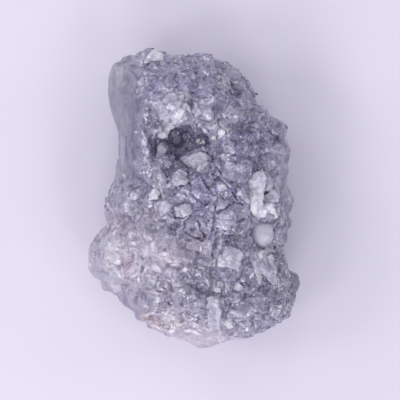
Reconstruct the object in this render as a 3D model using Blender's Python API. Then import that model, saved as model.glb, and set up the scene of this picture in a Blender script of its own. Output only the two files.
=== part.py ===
"""A rough diamond: one lumpy stone of intergrown crystals, lying on its flattest face.

It is drawn as it is seen from straight above, +X to the right, +Y to the far end and +Z up.
The origin is on the table, under the middle of the stone's box. Sizes are in millimetres
until the last step, which turns them to metres.
"""

import math

import bmesh
import bpy
import numpy as np
from mathutils import Euler, Matrix, Vector, noise
from mathutils.bvhtree import BVHTree
from mathutils.kdtree import KDTree

MM = 0.001

# The stone's driving sizes. The waist is the height at which it is widest
WIDTH = 17.0
LENGTH = 24.0
HEIGHT = 11.6
WAIST = 4.8
WAIST_TILT = 0.8
WAIST_TILT_TOWARDS = math.radians(60)
KEEL = 6.0
CROWN_SQUARENESS = 2.6
KEEL_SQUARENESS = 2.2

# The outline from above at the full length, anticlockwise from the knob at the far end
OUTLINE = (
    (-3.4, 12.0), (-4.9, 11.4), (-5.8, 11.2), (-6.5, 10.6), (-6.8, 9.5), (-6.7, 8.2), (-6.5, 6.6),
    (-6.2, 5.0), (-6.1, 3.1), (-6.3, 1.6), (-6.7, 0.8), (-7.0, -0.2), (-7.2, -1.3), (-7.1, -2.2),
    (-7.7, -2.8), (-8.1, -3.7), (-8.5, -4.6), (-8.3, -5.8), (-7.7, -6.7), (-6.7, -7.6), (-5.4, -8.6),
    (-3.8, -9.9), (-2.4, -10.9), (-0.8, -11.5), (0.8, -12.0), (2.8, -11.4), (5.0, -10.9), (6.6, -10.1),
    (7.7, -9.3), (8.1, -8.1), (8.5, -6.9), (8.2, -6.1), (7.8, -5.4), (7.3, -4.8), (7.1, -4.2),
    (7.2, -3.0), (7.6, -1.8), (7.8, -0.2), (7.6, 0.6), (7.2, 1.5), (7.5, 3.1), (7.5, 4.1), (7.2, 5.1),
    (7.2, 5.7), (6.6, 6.1), (6.0, 6.7), (5.2, 7.5), (4.9, 8.5), (4.0, 9.7), (2.8, 10.7), (1.5, 11.4),
    (0.8, 11.6), (-0.2, 11.4), (-1.1, 11.4), (-2.2, 11.6), (-2.7, 11.9),
)
# Away from the waist the outline loses its small bends
OUTLINE_DETAIL_BAND = 0.35
OUTLINE_BLUR = math.radians(13)
OUTLINE_BLUR_SAMPLES = 9
OUTLINE_SLICES = 80

# Broad broken faces: a point that each passes through, and the way it faces
BROKEN_FACES = {
    "left flank": ((-4.7, 6.0, 10.0), (-0.93, 0.02, 0.37)),
    "near left slope": ((-6.2, -6.6, 6.6), (-0.58, -0.50, 0.64)),
    "near slope": ((0.3, -10.4, 7.4), (-0.06, -0.72, 0.69)),
    "near right slope": ((6.2, -8.8, 7.6), (0.52, -0.42, 0.74)),
    "right side": ((6.0, 2.6, 8.6), (0.82, 0.06, 0.57)),
    "far right side": ((3.6, 8.8, 9.0), (0.52, 0.56, 0.64)),
    "far side": ((-3.0, 10.6, 8.6), (-0.10, 0.86, 0.50)),
    "under, right": ((5.6, 1.0, 1.5), (0.62, 0.12, -0.77)),
    "under, left": ((-4.9, 2.0, 1.7), (-0.70, 0.20, -0.69)),
    "under, near left": ((-5.2, -7.0, 1.8), (-0.55, -0.55, -0.63)),
    "under, near": ((1.6, -9.7, 1.6), (0.12, -0.76, -0.64)),
    "under, far": ((-0.6, 9.4, 1.7), (0.10, 0.74, -0.66)),
}
BREAK_FIRMNESS = 0.85
BREAK_ROUNDING = 0.35

# Swells and hollows of the upper side: middle x and y, half widths, turn in degrees, rise
FORMS = {
    "far ridge": (-0.2, 8.4, 4.2, 1.7, -8, 0.8),
    "far groove": (1.6, 9.7, 2.6, 0.5, -22, -0.5),
    "pit": (-0.5, 4.1, 2.1, 1.9, 0, -2.5),
    "pit floor, left": (-1.5, 4.7, 1.0, 0.9, 20, -0.9),
    "left shoulder": (-5.1, 4.6, 0.9, 5.4, 3, -0.9),
    "right shelf": (5.8, 3.4, 1.5, 3.2, 0, -0.9),
    "right notch": (5.0, 7.0, 0.8, 0.7, 30, -0.9),
    "middle swell": (1.8, 0.2, 3.0, 2.2, 25, 0.6),
    "left waist": (-5.6, -0.4, 1.6, 0.8, -35, -0.9),
    "near left dome": (-3.4, -4.8, 3.6, 3.0, -35, 0.7),
    "near left lobe": (-6.9, -5.2, 1.5, 1.9, -20, -0.8),
    "near right saddle": (2.2, -7.2, 3.1, 0.8, -6, -0.9),
    "near right lump": (5.9, -8.0, 1.7, 1.4, -30, 0.6),
    "near lip": (0.3, -10.9, 2.9, 1.1, -4, -0.9),
}
FORM_EDGE = 3.0
FORMS_FULL_FROM = 0.4

# Slow wander of the whole skin, and the crystals that the skin is grown from
WANDER_SPACING = 3.4
WANDER = 0.45
WANDER_LOST_AT_WAIST = 0.8
WAIST_BAND = 1.6
LARGE_SPACING = 2.5
LARGE_RELIEF = 0.42
SMALL_SPACING = 1.0
SMALL_RELIEF = 0.42
CRYSTAL_NEIGHBOURS = 8
TIP_HEIGHT = 0.8
TIP_CUT_HIGHEST = 0.5
TIP_CUT_TILT = 0.35

# Where the skin is smoother: middle x and y, half widths, turn, share of the relief lost
SMOOTHER = {
    "left flank": (-6.0, 6.0, 1.5, 5.2, 3, 0.80),
    "near lip": (0.2, -11.3, 3.8, 1.7, -4, 0.75),
    "near left lobe": (-7.0, -5.2, 1.6, 2.2, -20, 0.50),
    "far ridge": (-0.6, 9.0, 4.0, 1.9, -8, 0.35),
    "pit": (-0.5, 3.9, 2.2, 2.0, 0, 0.45),
}
GRAIN_CLEARING = 1.5
GRAIN_CLEARING_LOST = 0.75

# Clear grains that stand out of the skin: middle x and y, half sizes across and along, turn
CLEAR_GRAINS = {
    "far knob": (-3.5, 10.9, 0.85, 0.75, 10),
    "pit rim, left": (-1.3, 6.9, 1.15, 1.20, -35),
    "pit rim, middle": (0.7, 7.2, 0.95, 1.20, 20),
    "pit rim, right": (3.0, 6.7, 0.90, 1.20, 25),
    "pit rim, near": (2.2, 5.1, 0.65, 0.50, -20),
    "pit floor": (0.4, 3.2, 1.15, 0.75, -15),
    "pit side, left": (-2.7, 2.6, 0.50, 1.60, -14),
    "pit side, near": (-1.3, 1.6, 0.75, 0.65, 30),
    "left ball": (-3.3, 0.1, 0.55, 0.55, 0),
    "left step": (-4.8, 0.4, 0.50, 0.60, 15),
    "left pair, large": (-2.2, -0.8, 0.75, 0.60, -30),
    "left pair, small": (-0.8, -1.1, 0.70, 0.60, 20),
    "middle wedge": (2.2, 1.2, 0.60, 0.55, 40),
    "middle block": (2.4, -1.7, 1.05, 0.90, 15),
    "right upper lobe": (5.0, 1.3, 0.70, 1.10, -5),
    "right lower lobe": (5.6, -0.8, 1.10, 0.95, 30),
    "right bead": (3.6, 0.6, 0.36, 0.36, 0),
    "right ball": (5.5, -2.8, 0.95, 1.00, 0),
    "right block": (2.7, -4.7, 1.05, 0.85, -15),
    "right blade": (5.4, -5.1, 0.70, 1.40, 25),
    "near bead, left": (2.7, -6.9, 0.42, 0.40, 0),
    "near bead, right": (3.7, -7.0, 0.46, 0.50, 30),
    "near blade": (1.5, -8.7, 0.52, 1.25, -4),
    "near knob, left": (2.8, -9.7, 0.42, 0.40, 20),
    "near knob, right": (4.1, -9.9, 0.55, 0.45, 0),
}
GRAIN_THICKNESS = 0.8
GRAIN_STANDS_OUT = 0.48
GRAIN_UPRIGHT = 2.5
GRAIN_CUTS = 15
CUT_NEAREST = 0.80
CUT_FARTHEST = 0.96

# Smaller lumps of the same crystal, all round the stone
LUMP_COUNT = 30
LUMP_SMALLEST = 0.40
LUMP_LARGEST = 0.80
LUMP_THINNEST = 0.75
LUMP_SPACING = 2.0
LUMP_SUNK = 0.74
LUMP_CUTS = 12
LUMP_FREE_SHARE = 0.95

SPHERE_STEPS = 7
SKIN_TRIANGLES = 6800
SEED = 11


def fresh_collection(name):
    """A new collection in the scene."""
    collection = bpy.data.collections.new(name)
    bpy.context.scene.collection.children.link(collection)
    return collection


def round_curve(corners, steps=6):
    """The points of a smooth closed curve through the corners."""
    points = []
    count = len(corners)
    for i in range(count):
        before, start, end, after = (np.array(corners[(i + k - 1) % count]) for k in range(4))
        for step in range(steps):
            t = step / steps
            points.append(
                start
                + 0.5 * t * (end - before)
                + t * t * (before - 2.5 * start + 2 * end - 0.5 * after)
                + t * t * t * (1.5 * (start - end) + 0.5 * (after - before))
            )
    return np.array(points)


def outline_radius(angles):
    """How far the outline is from the middle in each direction."""
    curve = round_curve(OUTLINE)
    directions = np.arctan2(curve[:, 1], curve[:, 0])
    return np.interp(angles, directions, np.hypot(curve[:, 0], curve[:, 1]), period=2 * math.pi)


def blurred_radius(angles):
    """The outline's radius with its small bends averaged away."""
    shifts = np.linspace(-OUTLINE_BLUR, OUTLINE_BLUR, OUTLINE_BLUR_SAMPLES)
    return np.mean([outline_radius(angles + shift) for shift in shifts], axis=0)


def swell(points, x, y, half_x, half_y, turn):
    """1 over the middle of an oval patch seen from above, falling to 0 past its edge."""
    turn = math.radians(turn)
    across = (points[:, 0] - x) * math.cos(turn) + (points[:, 1] - y) * math.sin(turn)
    along = (points[:, 1] - y) * math.cos(turn) - (points[:, 0] - x) * math.sin(turn)
    away = np.hypot(across / half_x, along / half_y)
    return np.exp(-(away**FORM_EDGE))


def body_points(directions):
    """Each direction of a ball as a point of the stone's broad form."""
    across = np.hypot(directions[:, 0], directions[:, 1])
    up = directions[:, 2]
    angles = np.arctan2(directions[:, 1], directions[:, 0])
    detail = np.exp(-((up / OUTLINE_DETAIL_BAND) ** 2))
    radius = detail * outline_radius(angles) + (1 - detail) * blurred_radius(angles)
    squareness = np.where(up > 0, CROWN_SQUARENESS, KEEL_SQUARENESS)
    reach = radius * across ** (2 / squareness)
    rise = np.abs(up) ** (2 / squareness)
    waist = WAIST + WAIST_TILT * np.cos(angles - WAIST_TILT_TOWARDS) * across
    height = np.where(up > 0, waist + (HEIGHT - waist) * rise, waist - KEEL * rise)
    points = np.column_stack([reach * np.cos(angles), reach * np.sin(angles), height])
    upper = np.clip(up / FORMS_FULL_FROM, 0, 1)
    for x, y, half_x, half_y, turn, lift in FORMS.values():
        points[:, 2] += lift * upper * swell(points, x, y, half_x, half_y, turn)
    return points


def break_faces(points):
    """Presses the points that stand past each broken face back to it."""
    for through, facing in BROKEN_FACES.values():
        facing = np.array(facing) / np.linalg.norm(facing)
        past = (points - np.array(through)) @ facing / BREAK_ROUNDING
        pressed = np.logaddexp(0, past) * BREAK_ROUNDING * BREAK_FIRMNESS
        points = points - np.outer(pressed, facing)
    return points


def near_none(seeds, point, spacing):
    """True if the point is at least the spacing from every seed so far."""
    gaps = np.array(seeds) - point
    return (gaps * gaps).sum(axis=1).min() > spacing * spacing


def scattered_seeds(points, spacing, chance):
    """A spread of the points, none closer to another than the spacing, and a tree of them."""
    seeds = []
    for index in chance.permutation(len(points)):
        if not seeds or near_none(seeds, points[index], spacing):
            seeds.append(points[index])
    tree = KDTree(len(seeds))
    for index, seed in enumerate(seeds):
        tree.insert(seed, index)
    tree.balance()
    return tree, np.array(seeds)


def random_turn(chance):
    """A random rotation."""
    return Euler(tuple(chance.uniform(0, 2 * math.pi, 3)))


def crystal_relief(points, spacing, chance):
    """Height of a skin of intergrown octahedra with cut tips."""
    tree, seeds = scattered_seeds(points, spacing, chance)
    turns = np.array([random_turn(chance).to_matrix() for _ in seeds])
    tilts = chance.uniform(-TIP_CUT_TILT, TIP_CUT_TILT, (len(seeds), 3))
    caps = chance.uniform(0.0, TIP_CUT_HIGHEST, len(seeds))
    heights = np.empty(len(points))
    for index, point in enumerate(points):
        found = [item[1] for item in tree.find_n(point, CRYSTAL_NEIGHBOURS)]
        gaps = (point - seeds[found]) / spacing
        turned = np.einsum("nij,nj->ni", turns[found], gaps)
        faces = TIP_HEIGHT - np.abs(turned).sum(axis=1)
        flats = caps[found] + (tilts[found] * gaps).sum(axis=1)
        heights[index] = np.minimum(faces, flats).max()
    return (heights - heights.mean()) * spacing


def vertex_rows(mesh, name):
    """A three-part value of every vertex as rows."""
    values = np.empty(len(mesh.vertices) * 3)
    mesh.vertices.foreach_get(name, values)
    return values.reshape(-1, 3)


def move_points(mesh, points):
    """Gives the mesh these vertex places."""
    mesh.vertices.foreach_set("co", points.ravel())
    mesh.update()


def relief_share(points):
    """How much of the crystals' relief each point keeps, with clearings round the grains."""
    share = np.ones(len(points))
    upper = points[:, 2] > WAIST
    for x, y, half_x, half_y, turn, lost in SMOOTHER.values():
        share *= 1 - lost * swell(points, x, y, half_x, half_y, turn)
    for x, y, half_x, half_y, turn in CLEAR_GRAINS.values():
        reach = (half_x * GRAIN_CLEARING, half_y * GRAIN_CLEARING)
        share *= 1 - GRAIN_CLEARING_LOST * upper * swell(points, x, y, *reach, turn)
    return share


def fit_outline(points):
    """Draws the skin in or out, slice by slice, so that its farthest points meet the outline."""
    reach = np.hypot(points[:, 0], points[:, 1])
    angles = np.arctan2(points[:, 1], points[:, 0])
    slices = ((angles / (2 * math.pi) + 0.5) * OUTLINE_SLICES).astype(int) % OUTLINE_SLICES
    farthest = np.zeros(OUTLINE_SLICES)
    np.maximum.at(farthest, slices, reach)
    middles = ((np.arange(OUTLINE_SLICES) + 0.5) / OUTLINE_SLICES - 0.5) * 2 * math.pi
    stretch = outline_radius(middles) / farthest
    points[:, :2] *= np.interp(angles, middles, stretch, period=2 * math.pi)[:, None]
    return points


def grow_skin(mesh, chance):
    """Turns a ball into the stone: its broad form, a slow wander, then the crystals."""
    move_points(mesh, break_faces(body_points(vertex_rows(mesh, "co"))))
    points = vertex_rows(mesh, "co")
    wander = np.array([noise.noise(Vector(point / WANDER_SPACING)) for point in points])
    large = LARGE_RELIEF * crystal_relief(points, LARGE_SPACING, chance)
    small = SMALL_RELIEF * crystal_relief(points, SMALL_SPACING, chance)
    at_waist = np.exp(-(((points[:, 2] - WAIST) / WAIST_BAND) ** 2))
    wander *= WANDER * (1 - WANDER_LOST_AT_WAIST * at_waist)
    out = wander + (large + small) * relief_share(points)
    move_points(mesh, fit_outline(points + vertex_rows(mesh, "normal") * out[:, None]))


def take_evaluated(stone):
    """Makes the stone's modifiers part of its mesh."""
    graph = bpy.context.evaluated_depsgraph_get()
    mesh = bpy.data.meshes.new_from_object(stone.evaluated_get(graph))
    stone.modifiers.clear()
    stone.data = mesh


def thin_out(stone, triangles):
    """Keeps the flat faces and ridges with far fewer triangles."""
    decimate = stone.modifiers.new("Fewer triangles", "DECIMATE")
    decimate.ratio = triangles / len(stone.data.polygons)
    take_evaluated(stone)


def cut_off(bm, place, facing):
    """Cuts away everything past a plane and closes the cut with a flat face."""
    whole = bm.verts[:] + bm.edges[:] + bm.faces[:]
    bmesh.ops.bisect_plane(bm, geom=whole, plane_co=place, plane_no=facing, clear_outer=True)
    drop_crumbs(bm)
    rim = [edge for edge in bm.edges if edge.is_boundary]
    if rim:
        bmesh.ops.triangle_fill(bm, edges=rim, use_beauty=True)
    bmesh.ops.recalc_face_normals(bm, faces=bm.faces[:])


def drop_crumbs(bm):
    """Removes every piece but the largest that a cut has left."""
    left = set(bm.verts)
    pieces = []
    while left:
        newest = {left.pop()}
        piece = set(newest)
        while newest:
            newest = {edge.other_vert(vert) for vert in newest for edge in vert.link_edges} & left
            left -= newest
            piece |= newest
        pieces.append(piece)
    pieces.sort(key=len)
    for piece in pieces[:-1]:
        bmesh.ops.delete(bm, geom=list(piece), context="VERTS")


def cut_flat(mesh, height):
    """Cleaves everything below the height off, which leaves the flat face that the stone lies on."""
    bm = bmesh.new()
    bm.from_mesh(mesh)
    cut_off(bm, (0, 0, height), (0, 0, -1))
    bmesh.ops.triangulate(bm, faces=[face for face in bm.faces if len(face.verts) > 3])
    bm.to_mesh(mesh)
    bm.free()


def cleaved_block(half_sizes, cuts, chance):
    """A block with random flat faces cut round it, as a clear grain has."""
    bm = bmesh.new()
    bmesh.ops.create_cube(bm, size=2.0)
    for _ in range(cuts):
        facing = Vector(chance.normal(0, 1, 3)).normalized()
        cut_off(bm, facing * chance.uniform(CUT_NEAREST, CUT_FARTHEST), facing)
    bmesh.ops.transform(bm, matrix=Matrix.Diagonal((*half_sizes, 1)), verts=bm.verts[:])
    return bm


def add_block(name, bm, place, turn, collection):
    """A cleaved block as a hidden object that the stone is joined with."""
    mesh = bpy.data.meshes.new(name)
    bm.to_mesh(mesh)
    bm.free()
    block = bpy.data.objects.new(name, mesh)
    block.location = place
    block.rotation_euler = turn
    block.hide_render = True
    block.display_type = "WIRE"
    collection.objects.link(block)


def skin_under(tree, x, y):
    """Where a line straight down at x and y meets the skin, and the way the skin faces there."""
    place, facing, _, _ = tree.ray_cast(Vector((x, y, 2 * HEIGHT)), Vector((0, 0, -1)))
    return place, facing


def add_clear_grains(mesh, collection, chance):
    """The clear grains of the upper side, each sunk into the skin with its top standing out."""
    skin = bmesh.new()
    skin.from_mesh(mesh)
    tree = BVHTree.FromBMesh(skin)
    skin.free()
    for name, (x, y, half_x, half_y, turn) in CLEAR_GRAINS.items():
        place, facing = skin_under(tree, x, y)
        half_z = GRAIN_THICKNESS * min(half_x, half_y)
        upright = (facing + Vector((0, 0, GRAIN_UPRIGHT))).normalized()
        middle = place - upright * half_z * (1 - 2 * GRAIN_STANDS_OUT)
        lean = upright.to_track_quat("Z", "Y").to_euler()
        lean.rotate_axis("Z", math.radians(turn))
        block = cleaved_block((half_x, half_y, half_z), GRAIN_CUTS, chance)
        add_block(name, block, middle, lean, collection)


def free_of_grains(points):
    """True where a lump meets neither a clear grain, a smoother place nor the table."""
    free = points[:, 2] > LUMP_LARGEST
    for x, y, half_x, half_y, _ in CLEAR_GRAINS.values():
        reach = LUMP_LARGEST + max(half_x, half_y)
        free &= np.hypot(points[:, 0] - x, points[:, 1] - y) > reach
    return free & (relief_share(points) > LUMP_FREE_SHARE)


def add_lumps(mesh, collection, chance):
    """Smaller cleaved lumps spread over the sides, the top and the underside's slopes."""
    points = vertex_rows(mesh, "co")
    normals = vertex_rows(mesh, "normal")
    kept = []
    for index in chance.permutation(np.flatnonzero(free_of_grains(points))):
        if len(kept) == LUMP_COUNT:
            break
        if not kept or near_none(points[kept], points[index], LUMP_SPACING):
            kept.append(index)
    for number, index in enumerate(kept):
        half = chance.uniform(LUMP_SMALLEST, LUMP_LARGEST)
        half_sizes = tuple(half * chance.uniform(LUMP_THINNEST, 1.0, 3))
        place = Vector(points[index] - normals[index] * half * LUMP_SUNK)
        block = cleaved_block(half_sizes, LUMP_CUTS, chance)
        add_block(f"lump {number + 1}", block, place, random_turn(chance), collection)


def join_with(stone, collection):
    """Fuses everything in the collection to the stone."""
    union = stone.modifiers.new("Grown together", "BOOLEAN")
    union.operation = "UNION"
    union.solver = "EXACT"
    union.operand_type = "COLLECTION"
    union.collection = collection
    take_evaluated(stone)


def centre_and_scale(mesh):
    """Puts the middle of the stone's box over the origin, its base at 0, and sizes it in metres."""
    points = vertex_rows(mesh, "co")
    low = points.min(axis=0)
    high = points.max(axis=0)
    middle = Vector(((low[0] + high[0]) / 2, (low[1] + high[1]) / 2, low[2]))
    sizes = np.array((WIDTH, LENGTH, HEIGHT)) * MM / (high - low)
    mesh.transform(Matrix.Diagonal((*sizes, 1)) @ Matrix.Translation(-middle))


def crystal_material():
    """Grey-lilac crystal with a soft glitter."""
    material = bpy.data.materials.new("Grey-lilac crystal")
    material.use_nodes = True
    surface = material.node_tree.nodes["Principled BSDF"]
    surface.inputs["Base Color"].default_value = (0.30, 0.28, 0.38, 1)
    surface.inputs["Roughness"].default_value = 0.42
    surface.inputs["Metallic"].default_value = 0.0
    return material


def new_ball(name):
    """A fine round ball one unit in radius."""
    bm = bmesh.new()
    bmesh.ops.create_icosphere(bm, subdivisions=SPHERE_STEPS, radius=1.0)
    mesh = bpy.data.meshes.new(name)
    bm.to_mesh(mesh)
    bm.free()
    return bpy.data.objects.new(name, mesh)


def build_stone():
    """The whole stone as one object."""
    chance = np.random.default_rng(SEED)
    shown = fresh_collection("Rough diamond")
    grown_in = fresh_collection("Grown-in crystals")
    grown_in.hide_render = True
    stone = new_ball("stone")
    shown.objects.link(stone)
    grow_skin(stone.data, chance)
    thin_out(stone, SKIN_TRIANGLES)
    add_clear_grains(stone.data, grown_in, chance)
    add_lumps(stone.data, grown_in, chance)
    join_with(stone, grown_in)
    cut_flat(stone.data, 0.0)
    centre_and_scale(stone.data)
    stone.data.materials.clear()
    stone.data.materials.append(crystal_material())


def main():
    """Clears the scene and builds the stone."""
    for old in list(bpy.data.objects):
        bpy.data.objects.remove(old)
    build_stone()


main()
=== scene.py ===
"""The looks of a rough diamond: a lumpy, glittering lilac-grey stone with frosted clear grains.

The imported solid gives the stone's form. This script grows its fine skin of scales, folds and
cracks, sets the clear grains in it, scatters glinting flakes over it and lights it. Lengths are
worked in millimetres, and each finished piece is turned to metres.
"""

import math

import bpy
import numpy as np
from mathutils import Matrix, Vector, noise
from mathutils.bvhtree import BVHTree


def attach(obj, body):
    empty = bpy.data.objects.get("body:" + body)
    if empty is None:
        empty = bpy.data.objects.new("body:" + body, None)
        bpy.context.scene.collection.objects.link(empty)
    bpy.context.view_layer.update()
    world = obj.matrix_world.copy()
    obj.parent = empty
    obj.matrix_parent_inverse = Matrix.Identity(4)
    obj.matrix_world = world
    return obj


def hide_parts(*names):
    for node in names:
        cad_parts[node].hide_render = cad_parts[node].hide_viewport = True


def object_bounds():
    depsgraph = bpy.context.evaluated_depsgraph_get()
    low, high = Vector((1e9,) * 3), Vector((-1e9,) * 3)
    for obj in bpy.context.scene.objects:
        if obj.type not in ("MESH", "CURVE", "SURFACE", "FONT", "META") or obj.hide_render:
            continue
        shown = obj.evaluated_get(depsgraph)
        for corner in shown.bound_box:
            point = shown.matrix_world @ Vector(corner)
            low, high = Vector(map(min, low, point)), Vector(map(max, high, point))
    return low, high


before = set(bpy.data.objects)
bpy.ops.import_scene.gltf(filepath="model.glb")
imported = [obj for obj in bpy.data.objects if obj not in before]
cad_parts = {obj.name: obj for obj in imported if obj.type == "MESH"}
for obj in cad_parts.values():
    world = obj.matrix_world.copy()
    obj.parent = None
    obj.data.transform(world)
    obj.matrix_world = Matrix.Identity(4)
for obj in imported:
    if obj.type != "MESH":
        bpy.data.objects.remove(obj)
CAD_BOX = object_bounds()

bl_info = {
    "name": "Rough diamond",
    "version": (1, 0, 0),
    "blender": (4, 5, 0),
    "location": "View3D > Sidebar > Rough diamond",
    "description": "Grows a rough diamond's skin, clear grains and flakes round its solid",
    "category": "Object",
}

MM = 0.001
NODE = "stone"
BODY = "root"

# The photo's frame: the stone's middle, in pixels of the square picture, and its scale
PICTURE = 400
MIDDLE_X = 194.1
MIDDLE_Y = 198.7
MM_PER_PIXEL = 0.0797
# The camera's lens and sensor, and the height at which the stone is widest, all in millimetres
LENS = 200.0
SENSOR = 36.0
WIDEST = 4.8

# Broad tints seen from above: middle x and y, half widths, turn in degrees, colour, strength
TINTS = {
    "far plateau": (-0.3, 8.6, 5.0, 3.2, -8, "8c87ae", 1.0),
    "glassy left flank": (-5.9, 5.8, 1.9, 5.5, 3, "898a99", 1.0),
    "streak beside the flank": (-4.4, 4.5, 0.8, 4.6, 4, "6c678b", 0.85),
    "far left corner": (-5.6, 9.9, 1.1, 1.2, -30, "a6a5b3", 0.8),
    "far rim": (-0.8, 11.3, 4.6, 0.7, -2, "a6a2b9", 0.8),
    "right side": (6.2, 3.0, 1.9, 6.0, 2, "8e8aa2", 0.9),
    "right plateau": (3.9, 4.1, 2.7, 2.4, 20, "625d8c", 0.95),
    "under the right plateau": (2.2, 2.1, 2.6, 1.1, -8, "5d5882", 0.9),
    "pit": (-0.9, 4.3, 2.6, 2.3, 0, "6a658a", 0.9),
    "below the flank": (-4.2, 2.6, 1.2, 1.8, 10, "7d7999", 0.8),
    "left of the pit": (-3.2, 5.6, 1.0, 1.9, -10, "6d6988", 0.85),
    "middle": (1.2, -0.4, 3.6, 2.8, 20, "736e9b", 0.9),
    "near left dome": (-3.6, -4.6, 4.4, 3.9, -35, "a49eae", 1.0),
    "near left lobe": (-7.0, -5.0, 1.9, 2.9, -20, "c3c1c7", 1.0),
    "left knob": (-8.0, -4.8, 0.7, 1.9, 0, "a39fb2", 0.8),
    "over the left knob": (-7.7, -2.9, 0.8, 0.5, 42, "85818f", 0.85),
    "rosy patch, far": (-5.8, -2.4, 1.3, 0.7, -10, "b8a6b6", 0.8),
    "rosy patch, left": (-5.4, -5.2, 0.9, 1.2, 10, "b9a7b8", 0.8),
    "rosy patch, middle": (-1.2, -4.6, 1.7, 1.3, 10, "b5a5b7", 0.7),
    "near middle": (1.2, -6.4, 2.6, 2.0, 0, "6a6585", 0.85),
    "near right": (4.6, -8.0, 3.6, 2.6, -15, "827e99", 0.9),
    "over the near middle": (1.2, -5.3, 2.2, 1.2, 0, "6c6785", 0.75),
    "below the blades": (7.0, -5.6, 0.9, 1.0, 0, "615c7c", 0.85),
    "near right, dark band": (5.0, -7.0, 3.0, 0.9, -4, "5b567a", 0.85),
    "near right, pale": (4.0, -9.4, 1.9, 1.0, -10, "a29eb5", 0.75),
    "near right corner": (7.2, -7.4, 1.4, 2.0, 10, "5f5a79", 0.95),
    "pearly patch": (-2.1, -9.6, 1.5, 0.8, -25, "c9bcc4", 0.9),
    "orange edge": (-3.0, -10.2, 1.2, 0.35, -38, "cdb2ac", 0.7),
    "near lip": (-0.1, -11.3, 2.9, 1.2, -4, "ccc2ce", 1.0),
    "dark beside the dome": (0.7, -5.6, 0.9, 1.5, 10, "605b78", 0.85),
    "left of the T": (4.2, -0.4, 0.45, 2.0, 0, "a29eb4", 0.85),
    "between the pale patches": (0.2, 7.9, 0.5, 1.0, 0, "645f84", 0.85),
    "white patch": (-1.7, 6.9, 1.3, 1.6, -30, "d8d5e0", 0.95),
    "grey beside the white": (0.1, 6.1, 1.0, 0.7, 0, "8f8b9e", 0.85),
    "dark patch by the pit": (-3.1, 6.1, 0.8, 0.8, 0, "605b7e", 0.9),
    "pit rim, right": (1.8, 6.5, 1.8, 1.3, 0, "bab7c6", 0.85),
    "lumps beside the pit": (2.8, 6.7, 1.1, 1.0, 30, "a9a6b8", 0.85),
    "far right": (2.9, 9.9, 1.2, 0.9, -30, "aba9b6", 0.85),
    "triangular flake": (2.1, 1.2, 0.55, 0.5, 40, "c6c2d8", 0.9),
    "middle block": (2.5, -1.7, 1.05, 0.9, 15, "bab5cf", 0.9),
}
BASE_TINT = "8a86a0"

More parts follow.
